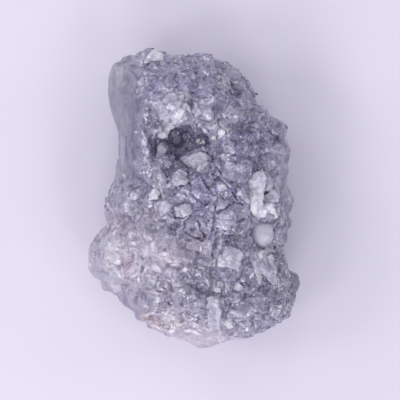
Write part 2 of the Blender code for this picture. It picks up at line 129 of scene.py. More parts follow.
# Marks read off the photo, in its pixels: middle x and y, half width, half height, turn
# White marks: partly the stone's white grains and patches, partly painted glints and highlights on its scales and
# folds
WHITE_AND_GLINT_MARKS = (
    (150, 73, 5, 0.9, 0), (168, 69, 3, 0.9, 40), (141, 83, 1.4, 4, 25), (165, 89, 3.5, 1, 0),
    (171, 88, 2, 1, 0), (199, 76, 3, 0.9, 10), (208, 75, 1.2, 1.6, 0), (209, 90, 1.5, 3.5, 15),
    (201, 68, 1.6, 0.9, 0), (178, 93, 2.4, 1.2, 0), (187, 99, 3, 1.2, 10), (178, 101, 3.5, 2.5, 0),
    (155, 103, 3, 1, -20), (145, 113, 1.6, 3, 20), (170, 104, 7, 3, 0), (176, 115, 8, 6, 0),
    (171, 125, 5, 5, -40), (165, 131, 2, 1, 0), (162, 135, 3.4, 2.6, 0), (208, 117, 4, 3, -30),
    (209, 110, 3, 2, 0), (213, 100, 2, 3.5, 0), (222, 133, 2, 4, 0), (214, 137, 1.5, 2, 0),
    (211, 128, 3, 1.2, 0), (226, 126, 1.6, 3.5, 20), (236, 117, 2.4, 1.6, 0), (262, 114, 1.6, 1, 0),
    (259, 116, 1.6, 1, 0), (224, 156, 2.4, 1.4, 10), (230, 160, 3, 1, 0), (228, 147, 2.5, 1, 0),
    (269, 188, 2.4, 3, 0), (221, 186, 4.5, 4, 35), (213, 190, 2.4, 2.2, 0), (211, 199, 3, 1.3, 0),
    (135, 133, 1.2, 1.2, 0), (144, 133, 1.8, 1.8, 0), (144, 142, 2, 4, 25), (190, 154, 2.5, 2.5, 0),
    (188, 163, 2.6, 2.6, 0), (198, 141, 1.2, 4, 15), (180, 194, 2, 1.4, 0), (186, 189, 2, 1.2, 0),
    (167, 173, 1.2, 2.6, 0), (134, 197, 3.5, 4.5, 0), (137, 211, 3, 1.8, 0), (144, 215, 2.4, 0.8, 10),
    (125, 176, 0.9, 2.4, 20), (197, 226, 2, 3, 0), (116, 226, 3, 1.4, 30), (115, 237, 2.4, 5, 0),
    (134, 243, 4.5, 2, 0), (144, 253, 4.5, 4, 0), (153, 246, 3, 4, 0), (164, 254, 4, 2.4, 0),
    (166, 260, 7, 1.1, -28), (118, 262, 5, 2.6, 30), (122, 271, 1.1, 7, 12), (107, 258, 6, 0.9, -20),
    (89.5, 265, 1.4, 2, 0), (139, 268, 1.1, 7, -5), (134, 276, 5, 1.8, 30), (139, 279, 1.3, 4, 0),
    (148, 269, 6, 1.1, 45), (156, 268, 6, 3, -30), (157, 275, 5, 1.1, 40), (156, 283, 7, 1.9, -15),
    (161, 287, 6, 1.2, -20), (174, 264, 5, 2, 0), (181, 292, 4, 4, 20), (156, 300, 3.2, 3.2, 0),
    (157, 294, 4, 1.1, 0), (165, 316, 4, 3, 0), (173, 318, 5, 3, -20),
    (170, 313, 5, 2, 0), (146, 316, 5, 0.9, 0), (156, 327, 7, 0.9, -20), (149, 321, 3, 1.4, 0),
    (185, 270, 4, 2, 20), (196, 248, 1.6, 2.4, 0), (201, 248, 1.6, 2.4, 0), (195, 333, 6, 1.6, -25),
    (188, 331, 4, 1.4, 0), (171, 332, 2.6, 2.2, 0), (195, 236, 2, 2.4, 0), (219, 226, 2.4, 1.8, 0),
    (235, 224, 3.4, 1.2, 15), (241, 232, 5, 1.3, 15), (241, 243, 3, 1.2, 0), (247, 254, 1.8, 2.4, 0),
    (262, 255, 1.4, 2.2, 0), (288, 274, 1.1, 4, 25), (283, 287, 2, 1.4, 0), (223, 303, 1.6, 3, 15),
    (237, 302, 4, 1, 20), (233, 311, 4, 3, 0), (246, 315, 3, 2, 0), (224, 319, 0.9, 3.6, -10),
    (268, 318, 1.6, 1.6, 0), (255, 325, 2.2, 2.2, 0), (286, 308, 1.2, 3, -20), (279, 296, 1.8, 1.4, 0),
    (235.5, 83, 3, 1, 0), (204, 279, 1, 5, 35), (208, 281, 1, 5, 35), (212, 302, 2, 3, 0),
)
PALE_MARKS = (
    (157, 86, 3, 3, 0), (163, 82, 3, 2, 0), (170, 82, 3, 3, 0), (190, 80, 3, 2, 0), (198, 66, 5, 3, 0),
    (152, 62, 5, 2, 0), (160, 70, 4, 1.5, 30), (147, 94, 4, 2, 0), (162, 94, 3, 2, 20),
    (184, 66, 5, 2, 0), (143, 71, 4, 2, 0), (209, 64, 4, 3, 0), (232, 72, 4, 2, -30),
    (145, 115, 4, 4.5, 0), (245, 96, 2.5, 4, 0), (246, 104, 3, 4, 0),
    (259, 113, 6, 4, 0), (236, 130, 3, 3, 0), (245, 133, 3, 4, 0), (252, 140, 3, 3, 0),
    (219, 152, 3, 2, 0), (245, 153, 3, 3, 0), (253, 166, 3, 2, 0),
    (258, 158, 2, 2, 0), (273, 153, 4, 4, 0), (281, 155, 4, 5, 0), (231, 174, 3, 6, 30), (275, 184, 4, 4, 0),
    (275, 195, 5, 4, 0), (222, 207, 4, 2.5, 20), (236, 208, 5, 4, 0), (221, 220, 8, 6, 0),
    (161, 158, 4, 12, -15), (157, 176, 5, 7, 0), (178, 179, 6, 6, 0), (200, 160, 9, 6, -10),
    (197, 190, 5, 7, 0), (204, 195, 4, 5, 0), (207, 178, 4, 4, 0), (228, 184, 3, 4, 30),
    (189, 224, 4, 5, 0), (202, 222, 4, 6, 0), (212, 236, 4, 4, 0), (207, 252, 6, 4, 20),
    (205, 259, 4, 4, 0), (220, 274, 5, 4, 0), (207, 280, 7, 4, -35), (240, 310, 12, 7, 0),
    (250, 325, 9, 5, 0), (280, 312, 5, 6, 0), (268, 322, 6, 4, 0), (110, 240, 8, 9, 0), (110, 277, 9, 7, -30),
    (100, 262, 6, 10, 0), (128, 240, 8, 6, 0), (150, 233, 10, 4, 0), (120, 292, 10, 3, -43),
    (122, 150, 2, 18, 3), (183, 127, 10, 4, 0), (228, 77, 6, 5, 0), (243, 226, 8, 5, 0), (168, 189, 5, 4, 0), (163, 178, 5, 8, -10),
    (133, 306, 9, 3, -43), (184, 257, 9, 3, -25), (166, 272, 9, 4, 0), (147, 284, 4, 5, 0), (186, 302, 6, 5, 0),
    (186, 270, 4, 4, 20), (127, 206, 6, 5, 0), (127, 185, 4, 4, 0), (117, 196, 2, 8, 10), (280, 238, 2.4, 4, 0),
    (148, 250, 14, 10, 0), (176, 308, 6, 4, 0), (215, 163, 5, 3, 20),
    (262, 221, 8, 2, 0), (256, 256, 5, 6, 0), (118, 213, 6, 6, 0), (156, 226, 5, 4, 0), (232, 73, 7, 5, -20),
)
# Dark marks: partly dark violet patches of the stone, partly painted shade in its gaps and pockets
DARK_AND_SHADE_MARKS = (
    (118, 148, 1.6, 14, -3), (127, 150, 1.2, 14, 3), (138, 104, 3, 9, 0), (133, 150, 1.4, 12, 5),
    (195, 91, 6, 8, 0), (255, 167, 5, 6, 0), (238, 106, 2.4, 12, 33), (151, 85, 2, 2.5, 0), (161, 90.5, 2.4, 0.9, 0),
    (172, 74, 3, 1.5, -10), (175, 80, 4, 6, 0), (207, 177, 4, 6, 0), (192, 106, 3, 4, 0),
    (178, 85, 1.5, 3, 0), (165, 78, 2, 1.5, 0), (204, 78, 4, 2, 0), (207, 83, 4, 2, 0), (216, 88, 4, 5, 0),
    (160, 65, 3, 2, 0), (176, 63, 6, 1.2, -15), (205, 97, 3, 1.5, 0), (188, 104, 3, 2.5, 20),
    (198, 113, 3, 2.6, 30), (156, 121, 8, 8, 0), (195, 84, 4, 2, 0),
    (150, 100, 4, 1.6, 0), (232, 93, 5, 2, -35), (239, 104, 1.8, 6, 30),
    (246, 113, 3, 6, 0), (253, 99, 3, 7, 0), (226, 134, 1.5, 6, 0), (250, 122, 5, 1.6, 0), (238, 148, 5, 4, 0),
    (234, 155, 3, 2, 0), (250, 158, 4, 2, 0), (264, 165, 3, 5, 0), (262.5, 192, 1.2, 4, 0),
    (138, 146, 2.4, 1.4, 0), (153, 145, 4, 12, 5), (139, 187, 3, 1.3, 0), (132, 185, 2, 1.2, 0),
    (121, 182, 1.8, 2, 0), (144, 194, 5, 4, 0), (120, 204, 1.2, 4, -10), (179, 139, 9, 7, 0),
    (193, 144, 6, 6, 0), (206, 141, 5, 7, 0), (175, 156, 7, 6, 0), (198, 171, 8, 2, 20), (212, 172, 5, 1.6, 25),
    (203, 205, 6, 2, 25), (215, 175, 1.5, 6, 0), (181, 203, 8, 1.2, 5), (194, 216, 3, 3, 0),
    (149, 301, 4, 4, 0), (138, 293, 3, 2.4, 0), (137, 298, 2, 1.4, 0), (168, 279, 5, 2, 0),
    (155, 273.5, 4, 0.9, 35), (143, 259, 3, 1.2, 0), (127, 247, 1, 5, 15), (171, 303, 3, 3, 0),
    (167, 329, 2.6, 0.9, 0), (196, 320, 4, 2, 10), (189, 316, 4, 3, 0), (142, 271, 1.2, 4, -20),
    (160, 291, 4, 1, 0), (209, 213, 4, 6, 0), (219, 211, 4, 3, 0), (179, 237, 10, 4, 0), (160, 222, 9, 2, 0), (172, 232, 6, 3, 0), (94, 240, 1.6, 8, -40),
    (196, 265, 2.4, 8, 0), (192, 283, 4, 7, 20), (213, 255, 2, 3, 0), (249, 266, 1.5, 5, 20),
    (218, 245, 3, 2.4, 0), (229, 243, 4, 3, 0), (248, 247, 4, 3, 0), (272, 246, 2, 2.4, 0),
    (284, 237, 1.8, 6, 0), (281, 262, 2.6, 8, 0), (264, 292, 8, 5, 0), (224, 294, 9, 4, 0),
    (212, 293, 6, 3, 0), (243, 296, 6, 4, 0), (277, 301, 7, 4, 0), (296, 285, 4, 9, 0), (268, 310, 4, 6, 20),
    (227, 304, 2, 4, -20), (227, 314, 1.2, 4, 0), (218, 321, 3, 2, 0), (236, 319, 4, 1.6, 0), (252, 319, 1.2, 5, 0),
    (205, 290, 5, 3, 0), (213, 271, 3, 6, 0), (244, 262, 3, 4, 0), (222, 269, 6, 1, 0), (233, 234, 7, 1.2, 20),
    (277, 256, 3, 5, 0), (201, 236, 3, 4, 0), (209, 216, 1.4, 8, -10), (187, 240, 5, 2, -20), (264, 337, 9, 1, 12),
    (197, 98, 5, 5, 0), (231, 96, 7, 4, -25), (144, 296, 5, 5, 0), (175, 225, 5, 4, 0), (174, 211, 5, 6, 0), (137, 91, 3, 6, 0),
    (147, 96, 4, 4, 0), (190, 147, 7, 4, 0), (208, 176, 7, 4, 20), (133, 66, 3.5, 2, 0), (136, 76, 0.9, 9, 42),
)
ROSY_MARKS = (
    (127, 226, 6, 5, 0), (129, 264, 7, 7, 0), (132, 285, 1.2, 4, 20), (165, 245, 5, 2.4, 0),
    (187, 261, 9, 5, -20), (172, 294, 4, 4, 0), (96, 264, 4, 9, 0), (140, 305, 5, 3, -30),
    (207, 335, 9, 5, 0), (228, 334, 8, 4, 10), (157, 330, 8, 1.6, -22), (188, 312, 4, 4, 0),
    (263, 281, 5, 3, 0), (213, 283, 3, 4, 0), (155, 212, 4, 4, 0), (145, 324, 6, 1.6, -40),
)
# Each group's colour, its strength and how far it stands out of the skin in millimetres; the white group's colour is
# partly painted glints and the dark group's partly painted shade
MARKS = {
    "pale": (PALE_MARKS, "b6b3c8", 0.60, 0.02),
    "rosy": (ROSY_MARKS, "ac98ac", 0.45, 0.0),
    "dark": (DARK_AND_SHADE_MARKS, "4a456c", 0.70, -0.06),
    "white": (WHITE_AND_GLINT_MARKS, "f7f6fc", 0.88, 0.06),
}

# Large clear grains: middle x and y, half sizes across and along, turn, finish and form
CLEAR_GRAINS = {
    "far knob": (-3.25, 11.35, 0.60, 0.44, 5, "milky block"),
    "white block 1": (-2.3, 7.7, 0.36, 0.34, 10, "frosted block"),
    "white block 2": (-1.8, 7.9, 0.50, 0.44, 40, "frosted block"),
    "white block 3": (-1.2, 7.9, 0.46, 0.40, 75, "milky block"),
    "white block 4": (-1.5, 6.9, 0.72, 1.00, -22, "frosted block"),
    "white core": (-1.4, 6.9, 0.62, 0.80, -20, "milky block"),
    "white block 5": (-2.2, 6.9, 0.36, 0.40, 55, "frosted block"),
    "white block 6": (-0.8, 7.0, 0.46, 0.60, 35, "frosted block"),
    "white block 7": (-1.8, 6.0, 0.46, 0.40, 0, "milky lobe"),
    "white block 8": (-2.2, 5.6, 0.34, 0.36, 70, "milky lobe"),
    "white block 9": (-2.6, 5.1, 0.32, 0.28, 15, "milky block"),
    "rim block 1": (0.4, 6.9, 0.36, 0.34, 60, "frosted block"),
    "rim block 2": (2.3, 6.1, 0.55, 0.42, 70, "frosted block"),
    "rim glint 1": (2.2, 5.2, 0.24, 0.32, 0, "milky block"),
    "rim glint 2": (2.5, 5.7, 0.24, 0.30, 20, "frosted block"),
    "rim glint 3": (1.6, 4.9, 0.20, 0.24, 0, "milky block"),
    "pit floor": (0.3, 3.1, 0.95, 0.72, -15, "frosted block"),
    "pit floor, near": (0.5, 2.5, 0.95, 0.55, -20, "frosted block"),
    "pit side, left": (-2.8, 3.35, 0.40, 1.00, -22, "frosted block"),
    "pit side, near": (-1.25, 1.6, 0.56, 0.56, 30, "frosted lobe"),
    "left ball": (-3.2, 0.3, 0.42, 0.50, 0, "milky lobe"),
    "left pair, large": (-2.3, -0.7, 0.48, 0.55, -30, "frosted block"),
    "left pair, small": (-0.9, -1.0, 0.60, 0.42, 20, "frosted block"),
    "right upper lobe": (4.95, 1.15, 0.76, 0.92, 0, "milky lobe"),
    "right joint": (4.75, -0.25, 0.66, 0.90, 10, "milky lobe"),
    "right lower lobe": (5.2, -0.85, 0.98, 0.74, -14, "milky lobe"),
    "right lower lobe, edge": (5.75, -0.85, 0.70, 0.72, 10, "milky lobe"),
    "right arm": (4.05, 0.0, 0.46, 0.28, -50, "frosted lobe"),
    "right bead": (3.62, 0.45, 0.26, 0.28, 0, "milky lobe"),
    "right small bead": (5.95, 0.9, 0.30, 0.32, 0, "milky lobe"),
    "right grey lump": (6.25, 0.15, 0.55, 0.60, 0, "frosted lobe"),
    "right ball": (5.4, -2.8, 0.96, 1.06, 0, "frosted drop"),
    "under the ball": (5.8, -4.2, 0.50, 0.36, 0, "frosted block"),
    "right block": (2.85, -4.75, 0.84, 0.72, -15, "frosted block"),
    "right blade, top": (5.3, -4.6, 0.55, 0.42, 20, "milky block"),
    "right blade, left": (5.0, -5.5, 0.34, 1.25, 18, "frosted block"),
    "right blade, middle": (5.45, -5.2, 0.36, 1.10, 22, "frosted block"),
    "right blade, outer": (5.9, -5.6, 0.34, 1.25, 20, "frosted block"),
    "right blade, edge": (6.2, -5.2, 0.26, 0.75, 18, "frosted block"),
    "right blade, inner": (4.5, -4.6, 0.30, 0.60, 20, "frosted block"),
    "near bead, left": (2.7, -6.8, 0.34, 0.40, 0, "frosted block"),
    "near bead, middle": (3.5, -7.0, 0.42, 0.46, 30, "frosted lobe"),
    "near blade": (1.6, -9.1, 0.46, 1.10, -4, "frosted block"),
    "near blade, knob": (1.45, -8.2, 0.50, 0.42, 10, "frosted block"),
    "near knob, left": (2.8, -9.9, 0.32, 0.40, 20, "milky block"),
    "near knob, right": (4.1, -10.1, 0.48, 0.44, 0, "frosted block"),
}

# The one clear grain that is worn as smooth as a drop
BALL = CLEAR_GRAINS["right ball"][:5]

# Lumps of the skin: middle x and y, half sizes, turn, height in millimetres
LUMPS = {
    "far left flank": (-6.7, 9.0, 0.8, 2.4, 0, 0.24),
    "left knob": (-8.1, -4.9, 0.7, 1.7, 0, 0.24),
    "near left edge": (-3.9, -9.8, 0.9, 0.6, -40, 0.40),
    "far knob": (3.2, 9.3, 1.00, 0.95, -25, 0.30),
    "beside the pit, far": (2.7, 7.2, 0.75, 0.80, 20, 0.35),
    "beside the pit, right": (3.4, 6.7, 0.60, 0.70, 0, 0.35),
    "beside the pit, left": (1.1, 6.8, 0.50, 0.80, 15, 0.25),
    "far ridge": (4.2, 8.1, 0.40, 1.00, 10, 0.25),
    "far right step": (5.2, 6.9, 0.60, 0.50, 20, 0.25),
    "rim lump 1": (6.5, 5.5, 0.70, 0.65, 0, 0.35),
    "rim lump 2": (7.0, 4.0, 0.60, 0.80, 15, 0.35),
    "rim lump 3": (6.3, 3.3, 0.60, 0.60, 0, 0.25),
    "rim lump 4": (6.9, 2.2, 0.55, 0.65, -20, 0.30),
    "rim lump 5": (6.6, 0.9, 0.60, 0.75, 0, 0.25),
    "rim lump 6": (7.5, -0.1, 0.45, 0.80, 0, 0.30),
    "rim lump 7": (7.0, -1.7, 0.50, 0.65, 10, 0.25),
    "under the ball": (6.9, -3.4, 0.60, 1.00, 0, 0.45),
}

# Small grains in patches seen from above: middle x and y, half widths, how many, smallest and
# largest half size, share of milky ones
SPRINKLES = {
    "pit rim, right": (2.0, 6.2, 1.5, 1.3, 8, 0.12, 0.26, 0.10),
    "left of the pit": (-3.6, 2.6, 0.8, 1.8, 4, 0.10, 0.22, 0.10),
    "middle": (0.2, -0.8, 2.6, 1.6, 6, 0.10, 0.22, 0.10),
    "right side": (6.2, 1.0, 1.1, 5.0, 24, 0.16, 0.38, 0.0),
    "near middle": (1.6, -6.6, 2.8, 1.5, 10, 0.14, 0.32, 0.05),
    "near right": (5.0, -8.2, 2.4, 1.8, 14, 0.16, 0.38, 0.04),
    "near left dome": (-3.6, -4.6, 3.8, 3.2, 8, 0.12, 0.30, 0.0),
    "far plateau": (0.6, 9.3, 3.0, 1.5, 6, 0.10, 0.22, 0.0),
}

# Crack lines of the middle, seen from above
CRACKS = {
    "under the pit": ((1.4, 2.7), (1.1, 2.3), (0.5, 2.0), (-0.1, 1.7), (-0.7, 1.5)),
    "pit to the right lobe": ((1.4, 3.3), (1.6, 2.7), (2.0, 2.4), (2.2, 1.9), (2.7, 1.5), (3.0, 1.2)),
    "long diagonal": ((1.1, 2.2), (1.8, 1.8), (2.1, 1.5), (2.5, 1.2), (2.9, 0.7), (3.3, 0.0), (4.1, -0.7)),
    "middle diagonal": ((0.6, 1.7), (1.0, 1.1), (1.4, 0.6), (1.8, 0.1), (1.8, -0.3)),
    "short cross": ((1.7, 1.7), (1.6, 1.2), (1.4, 0.8)),
    "left upright": ((-0.7, 2.0), (-0.7, 1.5), (-0.3, 1.0), (-0.2, 0.3), (0.5, -0.3), (0.6, -0.7)),
    "down to the left": ((1.8, 0.0), (1.1, -0.4), (0.6, -0.7), (-0.1, -1.2), (-0.7, -1.9), (-0.9, -2.5)),
    "near left": ((-0.9, -2.5), (-0.3, -2.9), (0.2, -3.2), (0.7, -3.4)),
    "middle upright": ((1.7, -0.3), (1.6, -1.3), (1.5, -2.3), (1.3, -3.1)),
    "over the block": ((1.8, -1.1), (2.4, -0.9), (2.9, -0.5), (3.2, -0.2), (4.1, -0.7)),
    "right of the block": ((2.9, -2.5), (3.3, -1.9), (3.9, -1.7)),
    "near upright": ((0.3, -1.9), (0.5, -2.6), (0.8, -3.1)),
    "left arc": ((-1.5, -1.5), (-0.8, -1.5), (-0.1, -1.1)),
    "beside the pit": ((-2.4, 2.7), (-2.2, 1.7), (-2.1, 1.3), (-1.9, 1.6)),
    "under the block": ((2.9, -2.5), (2.5, -2.7), (1.8, -2.4)),
}


def linear(code):
    """A linear colour from an sRGB hex value."""
    values = [int(code[i : i + 2], 16) / 255 for i in (0, 2, 4)]
    return tuple(v / 12.92 if v <= 0.04045 else ((v + 0.055) / 1.055) ** 2.4 for v in values)


class SkinSettings(bpy.types.PropertyGroup):
    """How the stone's skin is grown."""

    voxel: bpy.props.FloatProperty(
        name="Voxel", description="Spacing of the skin's points, mm", default=0.08, min=0.05
    )
    triangles: bpy.props.IntProperty(
        name="Triangles", description="Most triangles the skin keeps", default=196000
    )
    crystals: bpy.props.FloatProperty(
        name="Crystals", description="Steepness of the crystal facets", default=0.38
    )
    scales: bpy.props.FloatProperty(
        name="Scales", description="Height of the fine scales, mm", default=0.07
    )
    folds: bpy.props.FloatProperty(
        name="Folds", description="Height of the crumpled folds, mm", default=0.11
    )
    cracks: bpy.props.FloatProperty(
        name="Cracks", description="Depth of the crack lines, mm", default=0.15
    )


class FlakeSettings(bpy.types.PropertyGroup):
    """How the glinting flakes lie."""

    count: bpy.props.IntProperty(name="Flakes", description="How many flakes", default=5000)
    smallest: bpy.props.FloatProperty(
        name="Smallest", description="Smallest flake's half width, mm", default=0.10
    )
    largest: bpy.props.FloatProperty(
        name="Largest", description="Largest flake's half width, mm", default=0.34
    )


class StageSettings(bpy.types.PropertyGroup):
    """The floor, the camera and the lights."""

    floor_colour: bpy.props.FloatVectorProperty(
        name="Floor", description="The floor's colour", subtype="COLOR", default=linear("e6e3ee")
    )


def camera_place():
    """Where the camera is, straight above the middle of the picture, in millimetres."""
    distance = PICTURE * MM_PER_PIXEL * LENS / SENSOR
    return np.array((
        (PICTURE / 2 - MIDDLE_X) * MM_PER_PIXEL,
        (MIDDLE_Y - PICTURE / 2) * MM_PER_PIXEL,
        WIDEST + distance,
    ))


def as_seen(points):
    """The points drawn along the camera's lines of sight to the height of the outline.

    Marks and grains were placed over the photo, so this puts them where it shows them.
    """
    eye = camera_place()
    nearer = (eye[2] - WIDEST) / (eye[2] - points[:, 2])
    flat = eye[:2] + (points[:, :2] - eye[:2]) * nearer[:, None]
    return np.column_stack([flat, points[:, 2]])


def mm_points(mesh):
    """The mesh's vertices as rows."""
    values = np.empty(len(mesh.vertices) * 3)
    mesh.vertices.foreach_get("co", values)
    return values.reshape(-1, 3)


def point_normals(mesh):
    """The mesh's vertex normals as rows."""
    values = np.empty(len(mesh.vertices) * 3)
    mesh.vertices.foreach_get("normal", values)
    return values.reshape(-1, 3)


def set_points(mesh, points):
    """Gives the mesh these vertex places."""
    mesh.vertices.foreach_set("co", points.ravel())
    mesh.update()


def store(mesh, name, values):
    """Keeps a value for each vertex under a name that the material reads."""
    kind = "FLOAT" if values.ndim == 1 else "FLOAT_COLOR"
    attribute = mesh.attributes.new(name, kind, "POINT")
    if values.ndim == 1:
        attribute.data.foreach_set("value", values.astype(np.float32))
    else:
        whole = np.column_stack([values, np.ones(len(values))])
        attribute.data.foreach_set("color", whole.astype(np.float32).ravel())


def patch(points, x, y, half_x, half_y, turn, edge=3.0):
    """1 over the middle of an oval patch seen from above, falling to 0 past its edge."""
    points = as_seen(points)
    turn = math.radians(turn)
    across = (points[:, 0] - x) * math.cos(turn) + (points[:, 1] - y) * math.sin(turn)
    along = (points[:, 1] - y) * math.cos(turn) - (points[:, 0] - x) * math.sin(turn)
    return np.exp(-(np.hypot(across / half_x, along / half_y) ** edge))


def mark_patches(points, rows):
    """The strongest of some marks of the photo at each point of the upper side."""
    strongest = np.zeros(len(points))
    for x, y, half_x, half_y, turn in rows:
        place = ((x - MIDDLE_X) * MM_PER_PIXEL, (MIDDLE_Y - y) * MM_PER_PIXEL)
        half = (half_x * MM_PER_PIXEL, half_y * MM_PER_PIXEL)
        strongest = np.maximum(strongest, patch(points, *place, *half, turn, 4.0))
    return strongest * np.clip((points[:, 2] - 2.5) / 1.5, 0, 1)


def ragged(points):
    """The points moved a little, so that small marks get uneven edges."""
    return drift(drift(points, 1.1, 0.18, 12), 0.35, 0.10, 13)


def lattice_chance(cells, seed, count):
    """Random numbers from 0 to 1 for each cell of a lattice, the same on every run."""
    cells = cells.astype(np.int64).view(np.uint64)
    mixed = cells[:, 0] * np.uint64(0x9E3779B97F4A7C15)
    mixed ^= cells[:, 1] * np.uint64(0xC2B2AE3D27D4EB4F)
    mixed ^= cells[:, 2] * np.uint64(0x165667B19E3779F9)
    mixed += np.uint64(seed * 0x632BE59B)
    numbers = np.empty((len(cells), count))
    for column in range(count):
        mixed += np.uint64(0x9E3779B97F4A7C15)
        stirred = (mixed ^ (mixed >> np.uint64(30))) * np.uint64(0xBF58476D1CE4E5B9)
        stirred = (stirred ^ (stirred >> np.uint64(27))) * np.uint64(0x94D049BB133111EB)
        numbers[:, column] = (stirred >> np.uint64(40)).astype(float) / 2**24
    return numbers


def near_cells(points, spacing, seed, count):
    """For each of the 27 cells round every point: the step from its seed and its numbers."""
    scaled = points / spacing
    home = np.floor(scaled)
    for offset in np.ndindex(3, 3, 3):
        cell = home + np.array(offset) - 1
        chance = lattice_chance(cell, seed, 3 + count)
        yield scaled - cell - chance[:, :3], chance[:, 3:]


def scales(points, spacing, seed, steep=0.9, level=0.6):
    """Height of tilted plates with stepped edges."""
    nearest = np.full(len(points), 9.0)
    height = np.zeros(len(points))
    for gap, own in near_cells(points, spacing, seed, 4):
        away = np.linalg.norm(gap, axis=1)
        closer = away < nearest
        nearest = np.where(closer, away, nearest)
        tilted = ((own[:, :3] - 0.5) * gap).sum(axis=1) * steep + (own[:, 3] - 0.5) * level
        height = np.where(closer, tilted, height)
    return height


def crystals(points, spacing, seed):
    """Height in millimetres of intergrown crystals, the highest of many faceted tops."""
    height = np.full(len(points), -9.0)
    for gap, own in near_cells(points, spacing, seed, 10):
        facing = own[:, :9].reshape(-1, 3, 3) - 0.5
        facing /= np.linalg.norm(facing, axis=2, keepdims=True)
        fall = np.abs(np.einsum("nij,nj->ni", facing, gap)).max(axis=1)
        height = np.maximum(height, 0.3 * own[:, 9] - fall)
    return (height - height.mean()) * spacing


def drift(points, spacing, amount, seed):
    """The points, each moved a little by a slow noise."""
    shift = Vector((seed * 7.3, seed * 3.1, seed * 5.7))
    moved = [noise.noise_vector(Vector(point / spacing) + shift) for point in points]
    return points + np.array(moved) * amount


def folds(points, spacing, seed):
    """Height of sharp crumpled ridges, near -1 in the hollows and 1 on the crests."""
    shift = Vector((seed * 2.9, seed * 8.1, seed * 4.3))
    ridges = [
        noise.ridged_multi_fractal(Vector(point / spacing) + shift, 1.0, 2.1, 3, 1.0, 1.6)
        for point in points
    ]
    ridges = np.array(ridges)
    return np.clip((ridges - ridges.mean()) / (2 * ridges.std()), -1, 1)


def fold_height(points):
    """The crumpled folds at each point of the skin."""
    return folds(drift(points, 1.8, 0.7, 4), 1.3, 6)


def deselect_all():
    """Leaves nothing selected, since an operator acts on all that is."""
    bpy.ops.object.select_all(action="DESELECT")


def make_active(piece):
    """Selects one object alone."""
    deselect_all()
    piece.select_set(True)
    bpy.context.view_layer.objects.active = piece


def new_piece(name, mesh):
    """A new object for a mesh, selected alone."""
    piece = bpy.data.objects.new(name, mesh)
    bpy.context.scene.collection.objects.link(piece)
    make_active(piece)
    return piece


def solid_copy(name):
    """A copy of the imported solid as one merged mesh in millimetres."""
    piece = new_piece(name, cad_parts[NODE].data.copy())
    bpy.ops.object.mode_set(mode="EDIT")
    bpy.ops.mesh.select_all(action="SELECT")
    bpy.ops.mesh.remove_doubles(threshold=1e-7)
    bpy.ops.object.mode_set(mode="OBJECT")
    piece.data.transform(Matrix.Scale(1 / MM, 4))
    piece.data.materials.clear()
    return piece


def finish_piece(piece, material):
    """Turns a finished piece to metres and ties it to the solid's body."""
    piece.data.transform(Matrix.Scale(MM, 4))
    piece.data.materials.clear()
    piece.data.materials.append(material)
    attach(piece, BODY)


def refine(piece, voxel, rounds):
    """Fine even faces all over the piece, with its corners a little worn."""
    piece.data.remesh_voxel_size = voxel
    piece.data.remesh_voxel_adaptivity = 0
    bpy.ops.object.voxel_remesh()
    bpy.ops.object.mode_set(mode="EDIT")
    bpy.ops.mesh.select_all(action="SELECT")
    bpy.ops.mesh.vertices_smooth(factor=0.5, repeat=rounds)
    bpy.ops.object.mode_set(mode="OBJECT")


def thin_out(piece, triangles):
    """Drops triangles where the surface is plainest."""
    count = sum(len(face.vertices) - 2 for face in piece.data.polygons)
    if count <= triangles:
        return
    decimate = piece.modifiers.new("Fewer triangles", "DECIMATE")
    decimate.ratio = triangles / count
    bpy.ops.object.modifier_apply(modifier=decimate.name)


def edge_ends(mesh):
    """The two vertices of every edge as rows."""
    ends = np.empty(len(mesh.edges) * 2, dtype=np.int64)
    mesh.edges.foreach_get("vertices", ends)
    return ends.reshape(-1, 2)


def smoothed(values, ends, rounds):
    """Each vertex's value averaged with its neighbours', a number of times."""
    count = np.bincount(ends.ravel(), minlength=len(values))[:, None]
    for _ in range(rounds):
        total = np.empty_like(values)
        for column in range(values.shape[1]):
            total[:, column] = np.bincount(
                ends[:, 0], values[ends[:, 1], column], len(values)
            ) + np.bincount(ends[:, 1], values[ends[:, 0], column], len(values))
        values = 0.5 * values + 0.5 * total / count
    return values


def hollowness(mesh, rounds):
    """How far each point lies below the skin round it, in millimetres."""
    points = mm_points(mesh)
    sunk = smoothed(points, edge_ends(mesh), rounds) - points
    return (sunk * point_normals(mesh)).sum(axis=1)


def glassy(points):
    """Where the skin is smooth as glass: the left flank, the near lip and parts of the rim."""
    flank = patch(points, *TINTS["glassy left flank"][:5])
    corner = 0.9 * patch(points, -5.7, 10.0, 1.5, 1.6, -35)
    lip = 0.75 * patch(points, *TINTS["near lip"][:5])
    skirt = 0.85 * patch(points, -5.4, -8.5, 4.4, 1.1, -43)
    right = 0.55 * patch(points, 7.2, 2.0, 0.9, 5.0, 0)
    return np.maximum.reduce([flank, corner, lip, skirt, right])


def steepness(normals):
    """0 where the skin faces up or down and 1 where it stands upright."""
    return np.clip(1.3 - 2.0 * np.abs(normals[:, 2]), 0, 1)


def crumpled(points):
    """Where the skin is crumpled like foil: the near left half."""
    dome = patch(points, *TINTS["near left dome"][:5], 2.0)
    lobe = patch(points, *TINTS["near left lobe"][:5], 2.0)
    return np.maximum(dome, lobe)


def scaly(points):
    """Where fine fish scales show: the right plateau, the middle and patches all over."""
    right = patch(points, *TINTS["right plateau"][:5])
    middle = 0.8 * patch(points, *TINTS["middle"][:5])
    near = 0.7 * patch(points, *TINTS["near right corner"][:5])
    far = 0.5 * patch(points, *TINTS["far plateau"][:5])
    strongest = np.maximum(np.maximum(right, middle), np.maximum(near, far))
    return np.maximum(strongest, 0.25) * (1 - 0.7 * crumpled(points))


